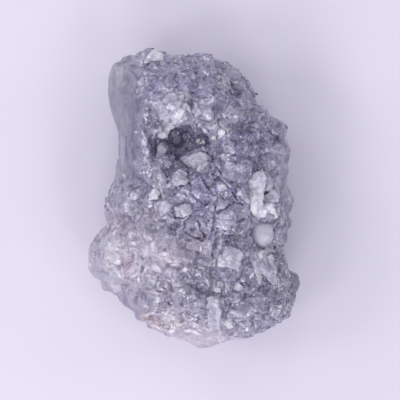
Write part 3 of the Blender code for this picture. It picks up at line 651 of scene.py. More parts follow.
def crack_lines(points):
    """1 along the crack lines of the upper side and 0 off them."""
    places = as_seen(drift(points, 0.8, 0.12, 5))[:, :2]
    nearest = np.full(len(points), 9.0)
    for corners in CRACKS.values():
        for start, end in zip(corners, corners[1:]):
            start = np.array(start)
            run = np.array(end) - start
            along = np.clip((places - start) @ run / (run @ run), 0, 1)
            away = np.linalg.norm(places - start - along[:, None] * run, axis=1)
            nearest = np.minimum(nearest, away)
    return np.clip(1.5 - nearest / 0.08, 0, 1) * (points[:, 2] > 4.8)


def streaks(points):
    """Fine upright streaks of the glassy flank."""
    stretched = points / np.array((0.35, 3.0, 0.7))
    return np.array([noise.fractal(Vector(point), 1.0, 2.0, 3) for point in stretched])


def shape_skin(mesh, settings):
    """Raises the crystals, scales and folds of the skin, and sinks its cracks and sockets."""
    points = mm_points(mesh)
    smooth = glassy(points)
    broad_normals = smoothed(point_normals(mesh), edge_ends(mesh), 30)
    keep = (1 - 0.92 * smooth) * (1 - 0.5 * steepness(broad_normals))
    crumple = crumpled(points)
    flaky = scaly(points)
    wavy = drift(points, 1.4, 0.30, 1)
    patchy = np.array([noise.noise(Vector(point / 2.2)) for point in points])
    busy = np.clip(0.5 + 1.5 * patchy, 0.1, 1)
    out = 0.9 * settings.crystals * crystals(wavy, 1.5, 3) * keep
    fine = settings.crystals * crystals(wavy, 0.70, 5) * keep * (0.5 + 0.5 * busy)
    out += fine * (1 - 0.75 * crumple) * (1 - 0.6 * flaky)
    out += settings.scales * scales(wavy, 0.62, 7) * keep * busy * (1 + flaky)
    out += settings.folds * fold_height(points) * crumple * keep
    uneven = ragged(points)
    for rows, _, _, height in MARKS.values():
        out += height * mark_patches(uneven, rows)
    for x, y, half_x, half_y, turn, height in LUMPS.values():
        out += height * patch(points, x, y, half_x, half_y, turn)
    out += 0.03 * streaks(points) * smooth
    out -= settings.cracks * crack_lines(points)
    points += point_normals(mesh) * out[:, None]
    upper = np.clip((points[:, 2] - 3.0) / 1.5, 0, 1)
    for x, y, half_x, half_y, turn, _ in CLEAR_GRAINS.values():
        sunk = patch(points, x, y, half_x * 0.85, half_y * 0.85, turn, 4.0)
        points[:, 2] -= 0.55 * min(half_x, half_y) * sunk * upper
    low, high = (np.array(corner) / MM for corner in CAD_BOX)
    set_points(mesh, np.clip(points, low, high))


def broad_tint(points):
    """The stone's broad tint at each point, with wandering edges between the patches."""
    soft = drift(drift(points, 2.4, 1.1, 8), 0.9, 0.35, 9)
    tint = np.tile(linear(BASE_TINT), (len(points), 1))
    for x, y, half_x, half_y, turn, code, strength in TINTS.values():
        share = strength * patch(soft, x, y, half_x, half_y, turn)[:, None]
        tint = tint * (1 - share) + np.array(linear(code)) * share
    return tint


def paint_skin(mesh):
    """Keeps each point's tint, its hollowness and depth for painted shade, the painted glow under the grains, its
    crack line and its fold for a painted highlight, for the material.
    """
    points = mm_points(mesh)
    under = np.zeros(len(points))
    for x, y, half_x, half_y, turn, _ in CLEAR_GRAINS.values():
        under = np.maximum(under, patch(points, x, y, half_x * 0.9, half_y * 0.9, turn, 6.0))
    uneven = ragged(points)
    tint = broad_tint(points)
    placed = np.zeros(len(points))
    crumple = crumpled(points)
    # The marks' colours go into the tint: the white ones are partly painted glints, the dark ones partly painted
    # shade
    for rows, code, strength, _ in MARKS.values():
        share = strength * mark_patches(uneven, rows) * (1 - 0.35 * crumple)
        placed = np.maximum(placed, share)
        tint += (np.array(linear(code)) - tint) * share[:, None]
    store(mesh, "tint", tint)
    store(mesh, "placed", placed)
    # Painted light: the skin under the clear grains is lightened in the material
    store(mesh, "glow_under_grain", under * np.clip((points[:, 2] - 3.0) / 1.5, 0, 1))
    # Painted shade comes from this: how far each point lies in a small hollow or crease
    store(mesh, "hollow_shade", np.clip(hollowness(mesh, 10) / 0.08, -1, 1))
    # Painted shade comes from this too: how deep each point lies in a broad hollow such as the pit
    store(mesh, "deep_shade", np.clip(hollowness(mesh, 120) / 0.45, -1, 1))
    store(mesh, "crack", crack_lines(points))
    store(mesh, "smooth", glassy(points))
    store(mesh, "crumple", crumple)
    store(mesh, "scaly", scaly(points))
    # The folds' crests, for the painted highlight on them
    store(mesh, "fold_highlight", fold_height(points))


def add_node(tree, kind, settings=None, links=None):
    """A node of a kind, with its settings and with the sockets that feed it."""
    node = tree.nodes.new(kind)
    for name, value in (settings or {}).items():
        if isinstance(name, int) or name in node.inputs:
            node.inputs[name].default_value = value
        else:
            setattr(node, name, value)
    for name, source in (links or {}).items():
        tree.links.new(source, node.inputs[name])
    return node


def new_material(name, settings):
    """A material with its shader's constant values set."""
    material = bpy.data.materials.new(name)
    material.use_nodes = True
    shader = material.node_tree.nodes["Principled BSDF"]
    for socket, value in settings.items():
        shader.inputs[socket].default_value = value
    return material, material.node_tree, shader


def colour(code):
    """An sRGB hex value as a linear colour with full alpha."""
    return (*linear(code), 1.0)


def ramp(tree, source, stops):
    """A colour ramp fed by a value; each stop is a place and a grey level or a hex colour."""
    node = add_node(tree, "ShaderNodeValToRGB", links={"Fac": source})
    elements = node.color_ramp.elements
    while len(elements) < len(stops):
        elements.new(0.5)
    for element, (place, value) in zip(elements, stops):
        element.position = place
        element.color = colour(value) if isinstance(value, str) else (value, value, value, 1)
    return node.outputs["Color"]


def mix(tree, kind, share, first, second):
    """Two colours mixed by a share, which is a number or a socket."""
    node = add_node(tree, "ShaderNodeMix", {"data_type": "RGBA", "blend_type": kind})
    for index, value in ((0, share), (6, first), (7, second)):
        if isinstance(value, bpy.types.NodeSocket):
            tree.links.new(value, node.inputs[index])
        else:
            node.inputs[index].default_value = value
    return node.outputs[2]


def attribute(tree, name, output="Fac"):
    """A value that is kept on the mesh's points."""
    node = add_node(tree, "ShaderNodeAttribute", {"attribute_name": name})
    return node.outputs[output]


def place_in_mm(tree):
    """The object's own coordinates in millimetres."""
    place = add_node(tree, "ShaderNodeTexCoord").outputs["Object"]
    scaled = add_node(tree, "ShaderNodeMapping", {"Scale": (1 / MM,) * 3}, {"Vector": place})
    return scaled.outputs["Vector"]


def skin_material():
    """Flaky lilac-grey crystal, like mica.

    Its cleaved scales each mirror another part of the room, so it glitters, and light
    sinks a little way in, so its shadows are soft and lilac.
    """
    material, tree, shader = new_material(
        "Flaky lilac crystal",
        {
            "IOR": 2.2,
            "Subsurface Weight": 0.6,
            "Subsurface Radius": (1.0, 0.95, 1.1),
            "Subsurface Scale": 0.40 * MM,
        },
    )
    in_mm = place_in_mm(tree)
    tint = attribute(tree, "tint", "Color")
    smooth = attribute(tree, "smooth")
    crumple = attribute(tree, "crumple")
    pattern = crystal_pattern(tree, in_mm)
    darkest = mix(tree, "MULTIPLY", 1.0, tint, (0.45, 0.42, 0.54, 1))
    brightest = mix(tree, "MIX", 0.40, tint, colour("f4f2fa"))
    base = mix(tree, "MIX", ramp(tree, pattern, [(0.42, 0.0), (0.64, 1.0)]), darkest, tint)
    base = mix(tree, "MIX", ramp(tree, pattern, [(0.62, 0.0), (0.78, 1.0)]), base, brightest)
    base = mix(tree, "MIX", ramp(tree, crumple, [(0.1, 0.0), (0.8, 0.55)]), base, tint)
    base = mix(tree, "MULTIPLY", 1.0, base, grit(tree, in_mm, crumple))
    # Painted highlight: thin light rims on the fine scales, where the skin is scaly
    edges = mix(tree, "MULTIPLY", 1.0, scale_rim_highlights(tree, in_mm), attribute(tree, "scaly"))
    base = mix(tree, "MIX", edges, base, colour("dcd8ee"))
    placed = ramp(tree, attribute(tree, "placed"), [(0.05, 0.0), (0.6, 0.85)])
    base = mix(tree, "MIX", placed, base, tint)
    # Painted highlight: the crests of the crumpled folds are lightened towards white, most on the crumpled dome
    fold_highlight = ramp(tree, attribute(tree, "fold_highlight"), [(0.50, 0.0), (0.95, 0.42)])
    fold_highlight = mix(tree, "MULTIPLY", 1.0, fold_highlight, ramp(tree, crumple, [(0.0, 0.10), (0.7, 0.6)]))
    base = mix(tree, "MIX", fold_highlight, base, colour("ecebf3"))
    streaky = mix(tree, "MULTIPLY", 1.0, tint, flank_streaks(tree, in_mm))
    base = mix(tree, "MIX", ramp(tree, smooth, [(0.2, 0.0), (0.8, 0.9)]), base, streaky)
    # Painted shade: the skin is darkened towards dark violet where it lies below the skin round it, in its small
    # hollows and creases
    hollow_shade = ramp(tree, attribute(tree, "hollow_shade"), [(0.1, 0.0), (0.9, 0.6)])
    base = mix(tree, "MIX", hollow_shade, base, colour("575275"))
    # Painted shade: broad deep hollows such as the pit are darkened towards violet
    deep_shade = ramp(tree, attribute(tree, "deep_shade"), [(0.2, 0.0), (1.0, 0.35)])
    base = mix(tree, "MIX", deep_shade, base, colour("67628a"))
    crack = ramp(tree, attribute(tree, "crack"), [(0.2, 0.0), (1.0, 0.62)])
    base = mix(tree, "MIX", crack, base, colour("4a4469"))
    # Painted light: the skin under the clear grains is lightened, standing in for the light that comes through them
    under = ramp(tree, attribute(tree, "glow_under_grain"), [(0.3, 0.0), (0.8, 0.6)])
    base = mix(tree, "MIX", under, base, colour("b9b6c8"))
    base = mix(tree, "MULTIPLY", 1.0, base, (0.88, 0.88, 0.89, 1))
    tree.links.new(base, shader.inputs["Base Color"])
    lean = mix(
        tree, "MULTIPLY", 1.0, ramp(tree, crumple, [(0.1, 0.32), (0.8, 0.09)]),
        ramp(tree, smooth, [(0.2, 1.0), (0.7, 0.12)]),
    )
    tree.links.new(scaly_normal(tree, in_mm, lean), shader.inputs["Normal"])
    dullness = mix(
        tree, "LIGHTEN", 1.0, ramp(tree, crumple, [(0.1, 0.17), (0.8, 0.27)]),
        ramp(tree, smooth, [(0.2, 0.17), (0.8, 0.42)]),
    )
    tree.links.new(dullness, shader.inputs["Roughness"])
    return material


def crystal_pattern(tree, in_mm):
    """How light each place is inside: shards, fine scales, filaments and slow patches."""
    warped = wavy_place(tree, in_mm, 1.2, 0.9)
    fine_warped = wavy_place(tree, in_mm, 3.0, 0.30)
    shards = add_node(tree, "ShaderNodeTexVoronoi", {"Scale": 1.5}, {"Vector": warped})
    fine = add_node(tree, "ShaderNodeTexVoronoi", {"Scale": 3.6}, {"Vector": fine_warped})
    filaments = add_node(
        tree, "ShaderNodeTexNoise",
        {"noise_type": "RIDGED_MULTIFRACTAL", "Scale": 1.1, "Detail": 3.0, "Roughness": 0.6,
         "Lacunarity": 2.1, "Offset": 0.9, "Gain": 2.0, "Distortion": 0.6},
        {"Vector": warped},
    )
    slow = add_node(
        tree, "ShaderNodeTexNoise", {"Scale": 0.55, "Detail": 3.0, "Roughness": 0.6},
        {"Vector": in_mm},
    )
    total = None
    for source, share in (
        (shards.outputs["Color"], 0.30),
        (fine.outputs["Color"], 0.22),
        (filaments.outputs["Fac"], 0.16),
        (slow.outputs["Fac"], 0.50),
    ):
        part = add_node(tree, "ShaderNodeMath", {"operation": "MULTIPLY", 1: share}, {0: source})
        if total is None:
            total = part.outputs["Value"]
            continue
        total = add_node(
            tree, "ShaderNodeMath", {"operation": "ADD"},
            {0: total, 1: part.outputs["Value"]},
        ).outputs["Value"]
    return total


def grit(tree, in_mm, crumple):
    """Each tiny scale a little lighter or darker than the next, as grey levels."""
    tiny = add_node(
        tree, "ShaderNodeTexVoronoi", {"Scale": 5.5}, {"Vector": wavy_place(tree, in_mm, 4.0, 0.10)}
    )
    level = ramp(tree, tiny.outputs["Color"], [(0.0, 0.42), (0.55, 1.0), (1.0, 1.9)])
    return mix(tree, "MIX", ramp(tree, crumple, [(0.1, 0.0), (0.8, 0.75)]), level, (1, 1, 1, 1))


def scale_rim_highlights(tree, in_mm):
    """Painted highlights: thin light rims along the edges of the fine scales, broken here and there."""
    warped = wavy_place(tree, in_mm, 2.2, 0.45)
    rims = add_node(
        tree, "ShaderNodeTexVoronoi", {"feature": "DISTANCE_TO_EDGE", "Scale": 3.4},
        {"Vector": warped},
    )
    gaps = add_node(tree, "ShaderNodeTexNoise", {"Scale": 1.7, "Detail": 2.0}, {"Vector": in_mm})
    line = ramp(tree, rims.outputs["Distance"], [(0.05, 0.85), (0.22, 0.0)])
    return mix(tree, "MULTIPLY", 1.0, line, ramp(tree, gaps.outputs["Fac"], [(0.40, 0.0), (0.58, 1.0)]))


def flank_streaks(tree, in_mm):
    """Fine upright streaks and soft clouds in the glassy flank, as grey levels."""
    stretched = add_node(
        tree, "ShaderNodeMapping", {"Scale": (3.2, 0.28, 1.6)}, {"Vector": in_mm}
    )
    streak = add_node(
        tree, "ShaderNodeTexNoise", {"Scale": 1.0, "Detail": 4.0, "Roughness": 0.6},
        {"Vector": stretched.outputs["Vector"]},
    )
    clouds = add_node(
        tree, "ShaderNodeTexNoise", {"Scale": 2.4, "Detail": 4.0, "Roughness": 0.65},
        {"Vector": in_mm},
    )
    return mix(
        tree, "MULTIPLY", 1.0,
        ramp(tree, streak.outputs["Fac"], [(0.34, 0.84), (0.50, 0.97), (0.66, 1.08)]),
        ramp(tree, clouds.outputs["Fac"], [(0.36, 0.80), (0.50, 1.0), (0.64, 1.16)]),
    )


def wavy_place(tree, place, scale, amount):
    """Coordinates that wander, so that a pattern of cells has uneven edges."""
    wander = add_node(
        tree, "ShaderNodeTexNoise", {"Scale": scale, "Detail": 1.5}, {"Vector": place}
    )
    shift = add_node(
        tree, "ShaderNodeVectorMath", {"operation": "SCALE", "Scale": amount},
        {0: wander.outputs["Color"]},
    )
    moved = add_node(
        tree, "ShaderNodeVectorMath", {"operation": "ADD"},
        {0: place, 1: shift.outputs["Vector"]},
    )
    return moved.outputs["Vector"]


def scaly_normal(tree, in_mm, lean):
    """The way each fine scale faces, leaning a little off the skin."""
    glint = add_node(
        tree, "ShaderNodeTexVoronoi", {"Scale": 4.5, "Randomness": 1.0}, {"Vector": in_mm}
    )
    tilt = add_node(
        tree, "ShaderNodeVectorMath", {"operation": "SUBTRACT", 1: (0.5, 0.5, 0.5)},
        {0: glint.outputs["Color"]},
    )
    tilt = add_node(
        tree, "ShaderNodeVectorMath", {"operation": "SCALE"},
        {0: tilt.outputs["Vector"], "Scale": lean},
    )
    fine = add_node(
        tree, "ShaderNodeTexNoise", {"Scale": 5.0, "Detail": 3.0, "Roughness": 0.6},
        {"Vector": in_mm},
    )
    bump = add_node(
        tree, "ShaderNodeBump", {"Strength": 0.5, "Distance": 0.04 * MM},
        {"Height": fine.outputs["Fac"]},
    )
    leaning = add_node(
        tree, "ShaderNodeVectorMath", {"operation": "ADD"},
        {0: bump.outputs["Normal"], 1: tilt.outputs["Vector"]},
    )
    facing = add_node(
        tree, "ShaderNodeVectorMath", {"operation": "NORMALIZE"}, {0: leaning.outputs["Vector"]}
    )
    return facing.outputs["Vector"]


def make_skin(settings):
    """The stone's whole outer skin, in place of the plain solid."""
    piece = solid_copy("stone_skin")
    refine(piece, settings.voxel, 5)
    shape_skin(piece.data, settings)
    thin_out(piece, settings.triangles)
    paint_skin(piece.data)
    finish_piece(piece, skin_material())
    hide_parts(NODE)
    return piece


class OBJECT_OT_stone_skin(bpy.types.Operator):
    """Grow the stone's skin round the solid"""

    bl_idname = "object.stone_skin"
    bl_label = "Stone skin"

    def execute(self, context):
        make_skin(context.scene.stone_skin)
        return {"FINISHED"}


def grain_form(index, chance):
    """A rounded, cleaved grain one unit in half size, cut from a cube as by hand."""
    deselect_all()
    bpy.ops.mesh.primitive_cube_add(size=2.0)
    form = bpy.context.active_object
    form.name = f"grain_form_{index}"
    bpy.ops.object.mode_set(mode="EDIT")
    for _ in range(7 + 2 * index):
        bpy.ops.mesh.select_all(action="SELECT")
        facing = Vector(chance.normal(0, 1, 3)).normalized()
        bpy.ops.mesh.bisect(
            plane_co=facing * chance.uniform(0.72, 0.96),
            plane_no=facing,
            use_fill=True,
            clear_outer=True,
        )
    bpy.ops.mesh.select_all(action="SELECT")
    bpy.ops.mesh.remove_doubles(threshold=0.04)
    bpy.ops.mesh.bevel(offset=0.06, segments=2, affect="EDGES")
    bpy.ops.mesh.select_all(action="SELECT")
    bpy.ops.mesh.quads_convert_to_tris()
    bpy.ops.mesh.normals_make_consistent(inside=False)
    bpy.ops.object.mode_set(mode="OBJECT")
    return form


def round_form():
    """A ball one unit in half size, made as by hand."""
    deselect_all()
    bpy.ops.mesh.primitive_ico_sphere_add(subdivisions=4, radius=1.0)
    form = bpy.context.active_object
    form.name = "round_form"
    return form


def take_form(form):
    """The corners and triangles of a form, which is then removed."""
    mesh = form.data
    corners = mm_points(mesh)
    mesh.calc_loop_triangles()
    triangles = np.empty(len(mesh.loop_triangles) * 3, dtype=np.int64)
    mesh.loop_triangles.foreach_get("vertices", triangles)
    bpy.data.objects.remove(form)
    bpy.data.meshes.remove(mesh)
    return corners, triangles.reshape(-1, 3)


def joined_mesh(name, copies):
    """One mesh of many copies; each is its corners in place and its faces."""
    starts = np.cumsum([0] + [len(corners) for corners, _ in copies])
    corners = np.concatenate([corners for corners, _ in copies])
    faces = np.concatenate([faces + start for (_, faces), start in zip(copies, starts)])
    mesh = bpy.data.meshes.new(name)
    mesh.from_pydata(corners, [], faces)
    mesh.update()
    return mesh


def top_of(tree, x, y):
    """Where the camera's line of sight at x and y meets the top, and which way it faces."""
    start = Vector(camera_place())
    place, facing, _, _ = tree.ray_cast(start, Vector((x, y, WIDEST)) - start)
    return place, facing


def search_tree(mesh, scale):
    """A mesh as a search tree in millimetres."""
    return BVHTree.FromPolygons(
        [vertex.co * scale for vertex in mesh.vertices], [face.vertices for face in mesh.polygons]
    )


def turned(corners, lean, middle):
    """Corners turned by a matrix and moved to a place."""
    return corners @ np.array(lean).T + np.array(middle)


def grown_grain(forms, drop, half_sizes, shape, chance):
    """A grain as one large cleaved block and smaller ones grown into it, or as one drop."""
    half = len(forms) // 2
    number = chance.integers(half)
    if shape == "drop":
        corners, faces = drop
        return [(corners * half_sizes * 0.83, faces)]
    corners, faces = forms[number if shape == "block" else half + number]
    blocks = [(corners * half_sizes * 0.90, faces)]
    for _ in range(5):
        corners, faces = forms[chance.integers(len(forms))]
        lean = Matrix.Rotation(chance.uniform(0, 2 * math.pi), 3, Vector(chance.normal(0, 1, 3)))
        block = turned(corners * chance.uniform(0.35, 0.60), lean, chance.uniform(-0.55, 0.55, 3))
        blocks.append((block * half_sizes, faces))
    return blocks


def make_large_grains(forms, drop, chance, skin_tree, solid_tree):
    """The large clear grains, grown together where they touch: frosted ones and milky ones."""
    grains = {"frosted": [], "milky": []}
    for x, y, half_x, half_y, turn, kind in CLEAR_GRAINS.values():
        finish, shape = kind.split()
        place, _ = top_of(skin_tree, x, y)
        _, facing = top_of(solid_tree, x, y)
        roundness = (min(half_x, half_y) / max(half_x, half_y)) ** 2
        upright = (facing + Vector((0, 0, 1.1 * roundness))).normalized()
        lean = Vector((0, 0, 1)).rotation_difference(upright).to_matrix()
        lean = lean @ Matrix.Rotation(math.radians(turn), 3, "Z")
        half_z = 0.85 * min(half_x, half_y)
        middle = place + upright * half_z * (0.08 if shape == "block" else 0.15)
        sizes = np.array((half_x, half_y, half_z)) * 1.2
        for corners, faces in grown_grain(forms, drop, sizes, shape, chance):
            grains[finish].append((turned(corners, lean, middle), faces))
    for finish, material in (("frosted", frosted_material()), ("milky", milky_material())):
        name = f"{finish}_grains"
        piece = new_piece(name, joined_mesh(name, grains[finish]))
        refine(piece, 0.06, 1)
        points = mm_points(piece.data)
        ball = patch(points, *BALL, 6.0)[:, None]
        out = 0.45 * crystals(drift(points, 0.8, 0.15, 11), 0.50, 13)[:, None] * (1 - 0.88 * ball)
        rounded = smoothed(points, edge_ends(piece.data), 30) - points
        set_points(piece.data, points + point_normals(piece.data) * out + rounded * ball)
        store(piece.data, "worn", ball[:, 0])
        finish_piece(piece, material)


def make_small_grains(forms, chance, skin_tree, solid_tree):
    """Small clear grains sprinkled in patches, each half sunk in the skin."""
    frosted = []
    milky = []
    for x, y, half_x, half_y, count, smallest, largest, milky_share in SPRINKLES.values():
        for _ in range(count):
            reach = chance.normal(0, 0.55, 2)
            spot = (x + half_x * reach[0], y + half_y * reach[1])
            place, facing = top_of(skin_tree, *spot)
            _, slope = top_of(solid_tree, *spot)
            half = smallest + (largest - smallest) * chance.random() ** 2
            is_milky = chance.random() < milky_share
            corners, faces = forms[chance.integers(len(forms))]
            lean = Matrix.Rotation(
                chance.uniform(0, 2 * math.pi), 3, Vector(chance.normal(0, 1, 3))
            )
            if place is None or slope is None or min(facing.z, slope.z) < 0.55:
                continue
            if glassy(np.array([place]))[0] > 0.3:
                continue
            sized = corners * half * chance.uniform(0.6, 1.0, 3)
            middle = place - facing * half * 0.5
            (milky if is_milky else frosted).append((turned(sized, lean, middle), faces))
    for name, blocks, material in (
        ("small_frosted_grains", frosted, "Frosted clear crystal"),
        ("small_milky_grains", milky, "Milky crystal"),
    ):
        piece = new_piece(name, joined_mesh(name, blocks))
        low, high = (np.array(corner) / MM for corner in CAD_BOX)
        set_points(piece.data, np.clip(mm_points(piece.data), low, high))
        finish_piece(piece, bpy.data.materials[material])


def make_grains():
    """All the clear grains that stand in the skin."""
    chance = np.random.default_rng(5)
    forms = [take_form(grain_form(index, chance)) for index in range(8)]
    skin_tree = search_tree(bpy.data.objects["stone_skin"].data, 1 / MM)
    solid_tree = search_tree(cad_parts[NODE].data, 1 / MM)
    drop = take_form(round_form())
    make_large_grains(forms, drop, chance, skin_tree, solid_tree)
    make_small_grains(forms, chance, skin_tree, solid_tree)


def cloudy_grain(tree, shader, clearest, cloudiest, distance):
    """Clouds and fine cracks inside a clear grain, and a faint frosting on its faces."""
    in_mm = place_in_mm(tree)
    warped = wavy_place(tree, in_mm, 1.6, 0.5)
    clouds = add_node(
        tree, "ShaderNodeTexNoise", {"Scale": 1.3, "Detail": 4.0, "Roughness": 0.65},
        {"Vector": warped},
    )
    facets = add_node(tree, "ShaderNodeTexVoronoi", {"Scale": 2.4}, {"Vector": warped})
    total = add_node(
        tree, "ShaderNodeMath", {"operation": "MULTIPLY_ADD", 1: 0.30},
        {0: facets.outputs["Color"], 2: clouds.outputs["Fac"]},
    )
    share = ramp(tree, total.outputs["Value"], [(0.48, 0.0), (0.82, 1.0)])
    base = mix(tree, "MIX", share, colour(clearest), colour(cloudiest))
    worn = ramp(tree, attribute(tree, "worn"), [(0.2, 0.0), (0.8, 0.55)])
    base = mix(tree, "MIX", worn, base, colour("f4f2fb"))
    tree.links.new(base, shader.inputs["Base Color"])
    bump = add_node(
        tree, "ShaderNodeBump", {"Strength": 0.7, "Distance": distance * MM},
        {"Height": total.outputs["Value"]},
    )
    tree.links.new(bump.outputs["Normal"], shader.inputs["Normal"])


def frosted_material():
    """Clear crystal with worn, frosted faces: see-through but blurred, with soft highlights."""
    material, tree, shader = new_material(
        "Frosted clear crystal",
        {
            "Roughness": 0.12,
            "IOR": 1.8,
            "Transmission Weight": 0.30,
            "Subsurface Weight": 0.6,
            "Subsurface Radius": (1.0, 1.0, 1.0),
            "Subsurface Scale": 0.5 * MM,
        },
    )
    cloudy_grain(tree, shader, "b2afc6", "ebe8f5", 0.08)
    return material


def milky_material():
    """Clear crystal clouded by fine bubbles and cracks: bright, soft and barely see-through."""
    material, tree, shader = new_material(
        "Milky crystal",
        {
            "Roughness": 0.16,
            "IOR": 1.8,
            "Transmission Weight": 0.08,
            "Subsurface Weight": 0.8,
            "Subsurface Radius": (1.0, 1.0, 1.0),
            "Subsurface Scale": 0.4 * MM,
        },
    )
    cloudy_grain(tree, shader, "d6d3e5", "fcfbff", 0.08)
    return material


class OBJECT_OT_stone_grains(bpy.types.Operator):
    """Set the clear grains in the stone's skin"""

    bl_idname = "object.stone_grains"
    bl_label = "Clear grains"

    def execute(self, context):
        make_grains()
        return {"FINISHED"}


def flake_form(chance):
    """A thin plate with an uneven outline of five corners, one unit in half width."""
    angles = (np.arange(5) + chance.uniform(-0.3, 0.3, 5)) * 2 * math.pi / 5
    reach = chance.uniform(0.65, 1.0, 5)
    rim = np.column_stack([np.cos(angles) * reach, np.sin(angles) * reach])
    top = np.column_stack([rim * 0.92, np.full(5, 0.07)])
    bottom = np.column_stack([rim, np.full(5, -0.07)])
    faces = [(0, 1, 2), (0, 2, 3), (0, 3, 4), (5, 7, 6), (5, 8, 7), (5, 9, 8)]
    for corner in range(5):
        following = (corner + 1) % 5
        faces.append((corner, corner + 5, following + 5))
        faces.append((corner, following + 5, following))
    return np.concatenate([top, bottom]), np.array(faces)


def make_flakes(settings):
    """Thin glinting flakes that lie on the skin, most of them nearly flat on it."""
    chance = np.random.default_rng(17)
    skin = bpy.data.objects["stone_skin"].data
    points = mm_points(skin) / MM
    normals = point_normals(skin)
    keep = np.clip(1 - 2 * glassy(points), 0, 1) * (1 - 0.9 * crumpled(points))
    keep *= 1 - 0.8 * steepness(normals)
    keep[points[:, 2] < 0.3] = 0
    chosen = chance.choice(len(points), settings.count, replace=False, p=keep / keep.sum())
    forms = [flake_form(chance) for _ in range(24)]
    slant = np.array([noise.noise_vector(Vector(points[index] / 1.3)) for index in chosen])
    copies = []
    for number, index in enumerate(chosen):
        facing = normals[index] + 0.22 * slant[number] + chance.normal(0, 0.10, 3)
        lean = Vector(facing).to_track_quat("Z", "Y").to_matrix()
        lean = lean @ Matrix.Rotation(chance.uniform(0, 2 * math.pi), 3, "Z")
        half = settings.smallest + (settings.largest - settings.smallest) * chance.random() ** 2
        corners, faces = forms[number % len(forms)]
        sized = corners * np.array((half, half * chance.uniform(0.6, 1.0), half))
        copies.append((sized @ np.array(lean).T + points[index] + normals[index] * 0.01, faces))
    mesh = joined_mesh("flakes", copies)
    low, high = (np.array(corner) / MM for corner in CAD_BOX)
    set_points(mesh, np.clip(mm_points(mesh), low, high))
    piece = new_piece("flakes", mesh)
    store(piece.data, "tint", broad_tint(mm_points(piece.data)))
    finish_piece(piece, flake_material())


def flake_material():
    """Cleaved mica-like flakes: thin, glossy and pearly."""
    material, tree, shader = new_material(
        "Pearly flakes",
        {
            "Roughness": 0.22,
            "IOR": 1.58,
            "Specular IOR Level": 0.8,
            "Transmission Weight": 0.15,
        },
    )
    tint = add_node(tree, "ShaderNodeAttribute", {"attribute_name": "tint"}).outputs["Color"]
    light = mix(tree, "MIX", 0.25, tint, colour("e4e0f2"))
    tree.links.new(light, shader.inputs["Base Color"])
    return material


class OBJECT_OT_stone_flakes(bpy.types.Operator):
    """Scatter the glinting flakes over the skin"""

    bl_idname = "object.stone_flakes"
    bl_label = "Flakes"

    def execute(self, context):
        make_flakes(context.scene.stone_flakes)
        return {"FINISHED"}


def floor_material(tone):
    """Plain matt card."""
    material, _, _ = new_material(
        "Pale matt card", {"Base Color": (*tone, 1), "Roughness": 0.9, "Specular IOR Level": 0.1}
    )
    return material


def add_light(name, place, aim, size, power, tint):
    """A square soft light that faces a place on the stone; lengths in millimetres."""
    light = bpy.data.lights.new(name, "AREA")
    light.size = size * MM
    light.energy = power
    light.color = tint
    lamp = bpy.data.objects.new(name, light)
    bpy.context.scene.collection.objects.link(lamp)
    lamp.location = Vector(place) * MM
    lamp.rotation_euler = (Vector(aim) - Vector(place)).to_track_quat("-Z", "Y").to_euler()


def soft_room():
    """A pale lilac room, lightest towards the near left and a little darker overhead."""
    world = bpy.data.worlds.new("Soft room")
    world.use_nodes = True
    tree = world.node_tree
    sky = tree.nodes["Background"]
    sky.inputs["Color"].default_value = colour("ece9f8")
    way = add_node(tree, "ShaderNodeTexCoord").outputs["Generated"]
    window = Vector((-0.62, -0.55, 0.56))
    towards = add_node(
        tree, "ShaderNodeVectorMath", {"operation": "DOT_PRODUCT", 1: window}, {0: way}
    )
    strength = add_node(
        tree, "ShaderNodeMapRange",
        {"From Min": -1.0, "From Max": 1.0, "To Min": 0.30, "To Max": 0.76},
        {"Value": towards.outputs["Value"]},
    )
    tree.links.new(strength.outputs["Result"], sky.inputs["Strength"])
    return world


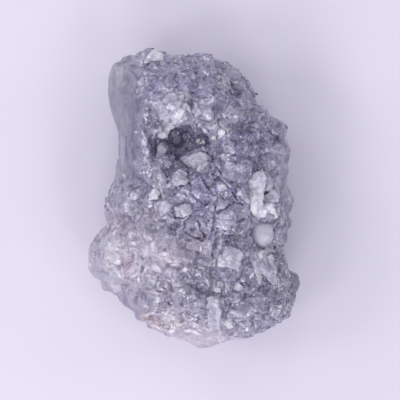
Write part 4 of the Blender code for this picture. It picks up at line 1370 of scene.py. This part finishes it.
def make_stage(settings):
    """A plain pale floor, soft light from the near left, and a camera straight above."""
    scene = bpy.context.scene
    deselect_all()
    bpy.ops.mesh.primitive_plane_add(size=1.2)
    floor = bpy.context.active_object
    floor.name = "floor"
    floor.data.materials.append(floor_material(settings.floor_colour))

    scene.world = soft_room()
    for number in range(9):
        round_way = math.radians(number * 40 + 15)
        near_left = 0.5 + 0.5 * math.cos(round_way - math.radians(230))
        height = 110 + 60 * (number % 3)
        place = (200 * math.cos(round_way), 200 * math.sin(round_way), height)
        power = 0.022 + 0.082 * near_left
        add_light(f"lamp {number + 1}", place, (0, 0, 4), 70, power, (1.0, 0.985, 1.0))

    camera = bpy.data.cameras.new("camera")
    camera.lens = LENS
    camera.sensor_width = SENSOR
    place = camera_place() * MM
    camera.clip_start = place[2] * 0.1
    camera.clip_end = place[2] * 20
    camera.dof.use_dof = False
    holder = bpy.data.objects.new("camera", camera)
    scene.collection.objects.link(holder)
    holder.location = place
    scene.camera = holder
    scene.view_settings.view_transform = "Standard"


class OBJECT_OT_stone_stage(bpy.types.Operator):
    """Make the floor, the lights and the camera"""

    bl_idname = "object.stone_stage"
    bl_label = "Stage"

    def execute(self, context):
        make_stage(context.scene.stone_stage)
        return {"FINISHED"}


class VIEW3D_PT_stone(bpy.types.Panel):
    """Lists the pieces of the stone in the order in which they are made"""

    bl_label = "Rough diamond"
    bl_space_type = "VIEW_3D"
    bl_region_type = "UI"
    bl_category = "Rough diamond"

    def draw(self, context):
        scene = context.scene
        groups = (
            (scene.stone_skin, OBJECT_OT_stone_skin),
            (None, OBJECT_OT_stone_grains),
            (scene.stone_flakes, OBJECT_OT_stone_flakes),
            (scene.stone_stage, OBJECT_OT_stone_stage),
        )
        for settings, operator in groups:
            box = self.layout.box()
            if settings:
                for name in settings.__annotations__:
                    box.prop(settings, name)
            box.operator(operator.bl_idname)


CLASSES = (
    SkinSettings,
    FlakeSettings,
    StageSettings,
    OBJECT_OT_stone_skin,
    OBJECT_OT_stone_grains,
    OBJECT_OT_stone_flakes,
    OBJECT_OT_stone_stage,
    VIEW3D_PT_stone,
)


def register():
    """Adds the settings, the operators and the panel."""
    for part in CLASSES:
        bpy.utils.register_class(part)
    bpy.types.Scene.stone_skin = bpy.props.PointerProperty(type=SkinSettings)
    bpy.types.Scene.stone_flakes = bpy.props.PointerProperty(type=FlakeSettings)
    bpy.types.Scene.stone_stage = bpy.props.PointerProperty(type=StageSettings)


def unregister():
    """Takes them out again."""
    del bpy.types.Scene.stone_stage
    del bpy.types.Scene.stone_flakes
    del bpy.types.Scene.stone_skin
    for part in reversed(CLASSES):
        bpy.utils.unregister_class(part)


def main():
    """Makes every piece in order."""
    register()
    bpy.ops.object.stone_skin()
    bpy.ops.object.stone_grains()
    bpy.ops.object.stone_flakes()
    bpy.ops.object.stone_stage()


if __name__ == "__main__":
    main()
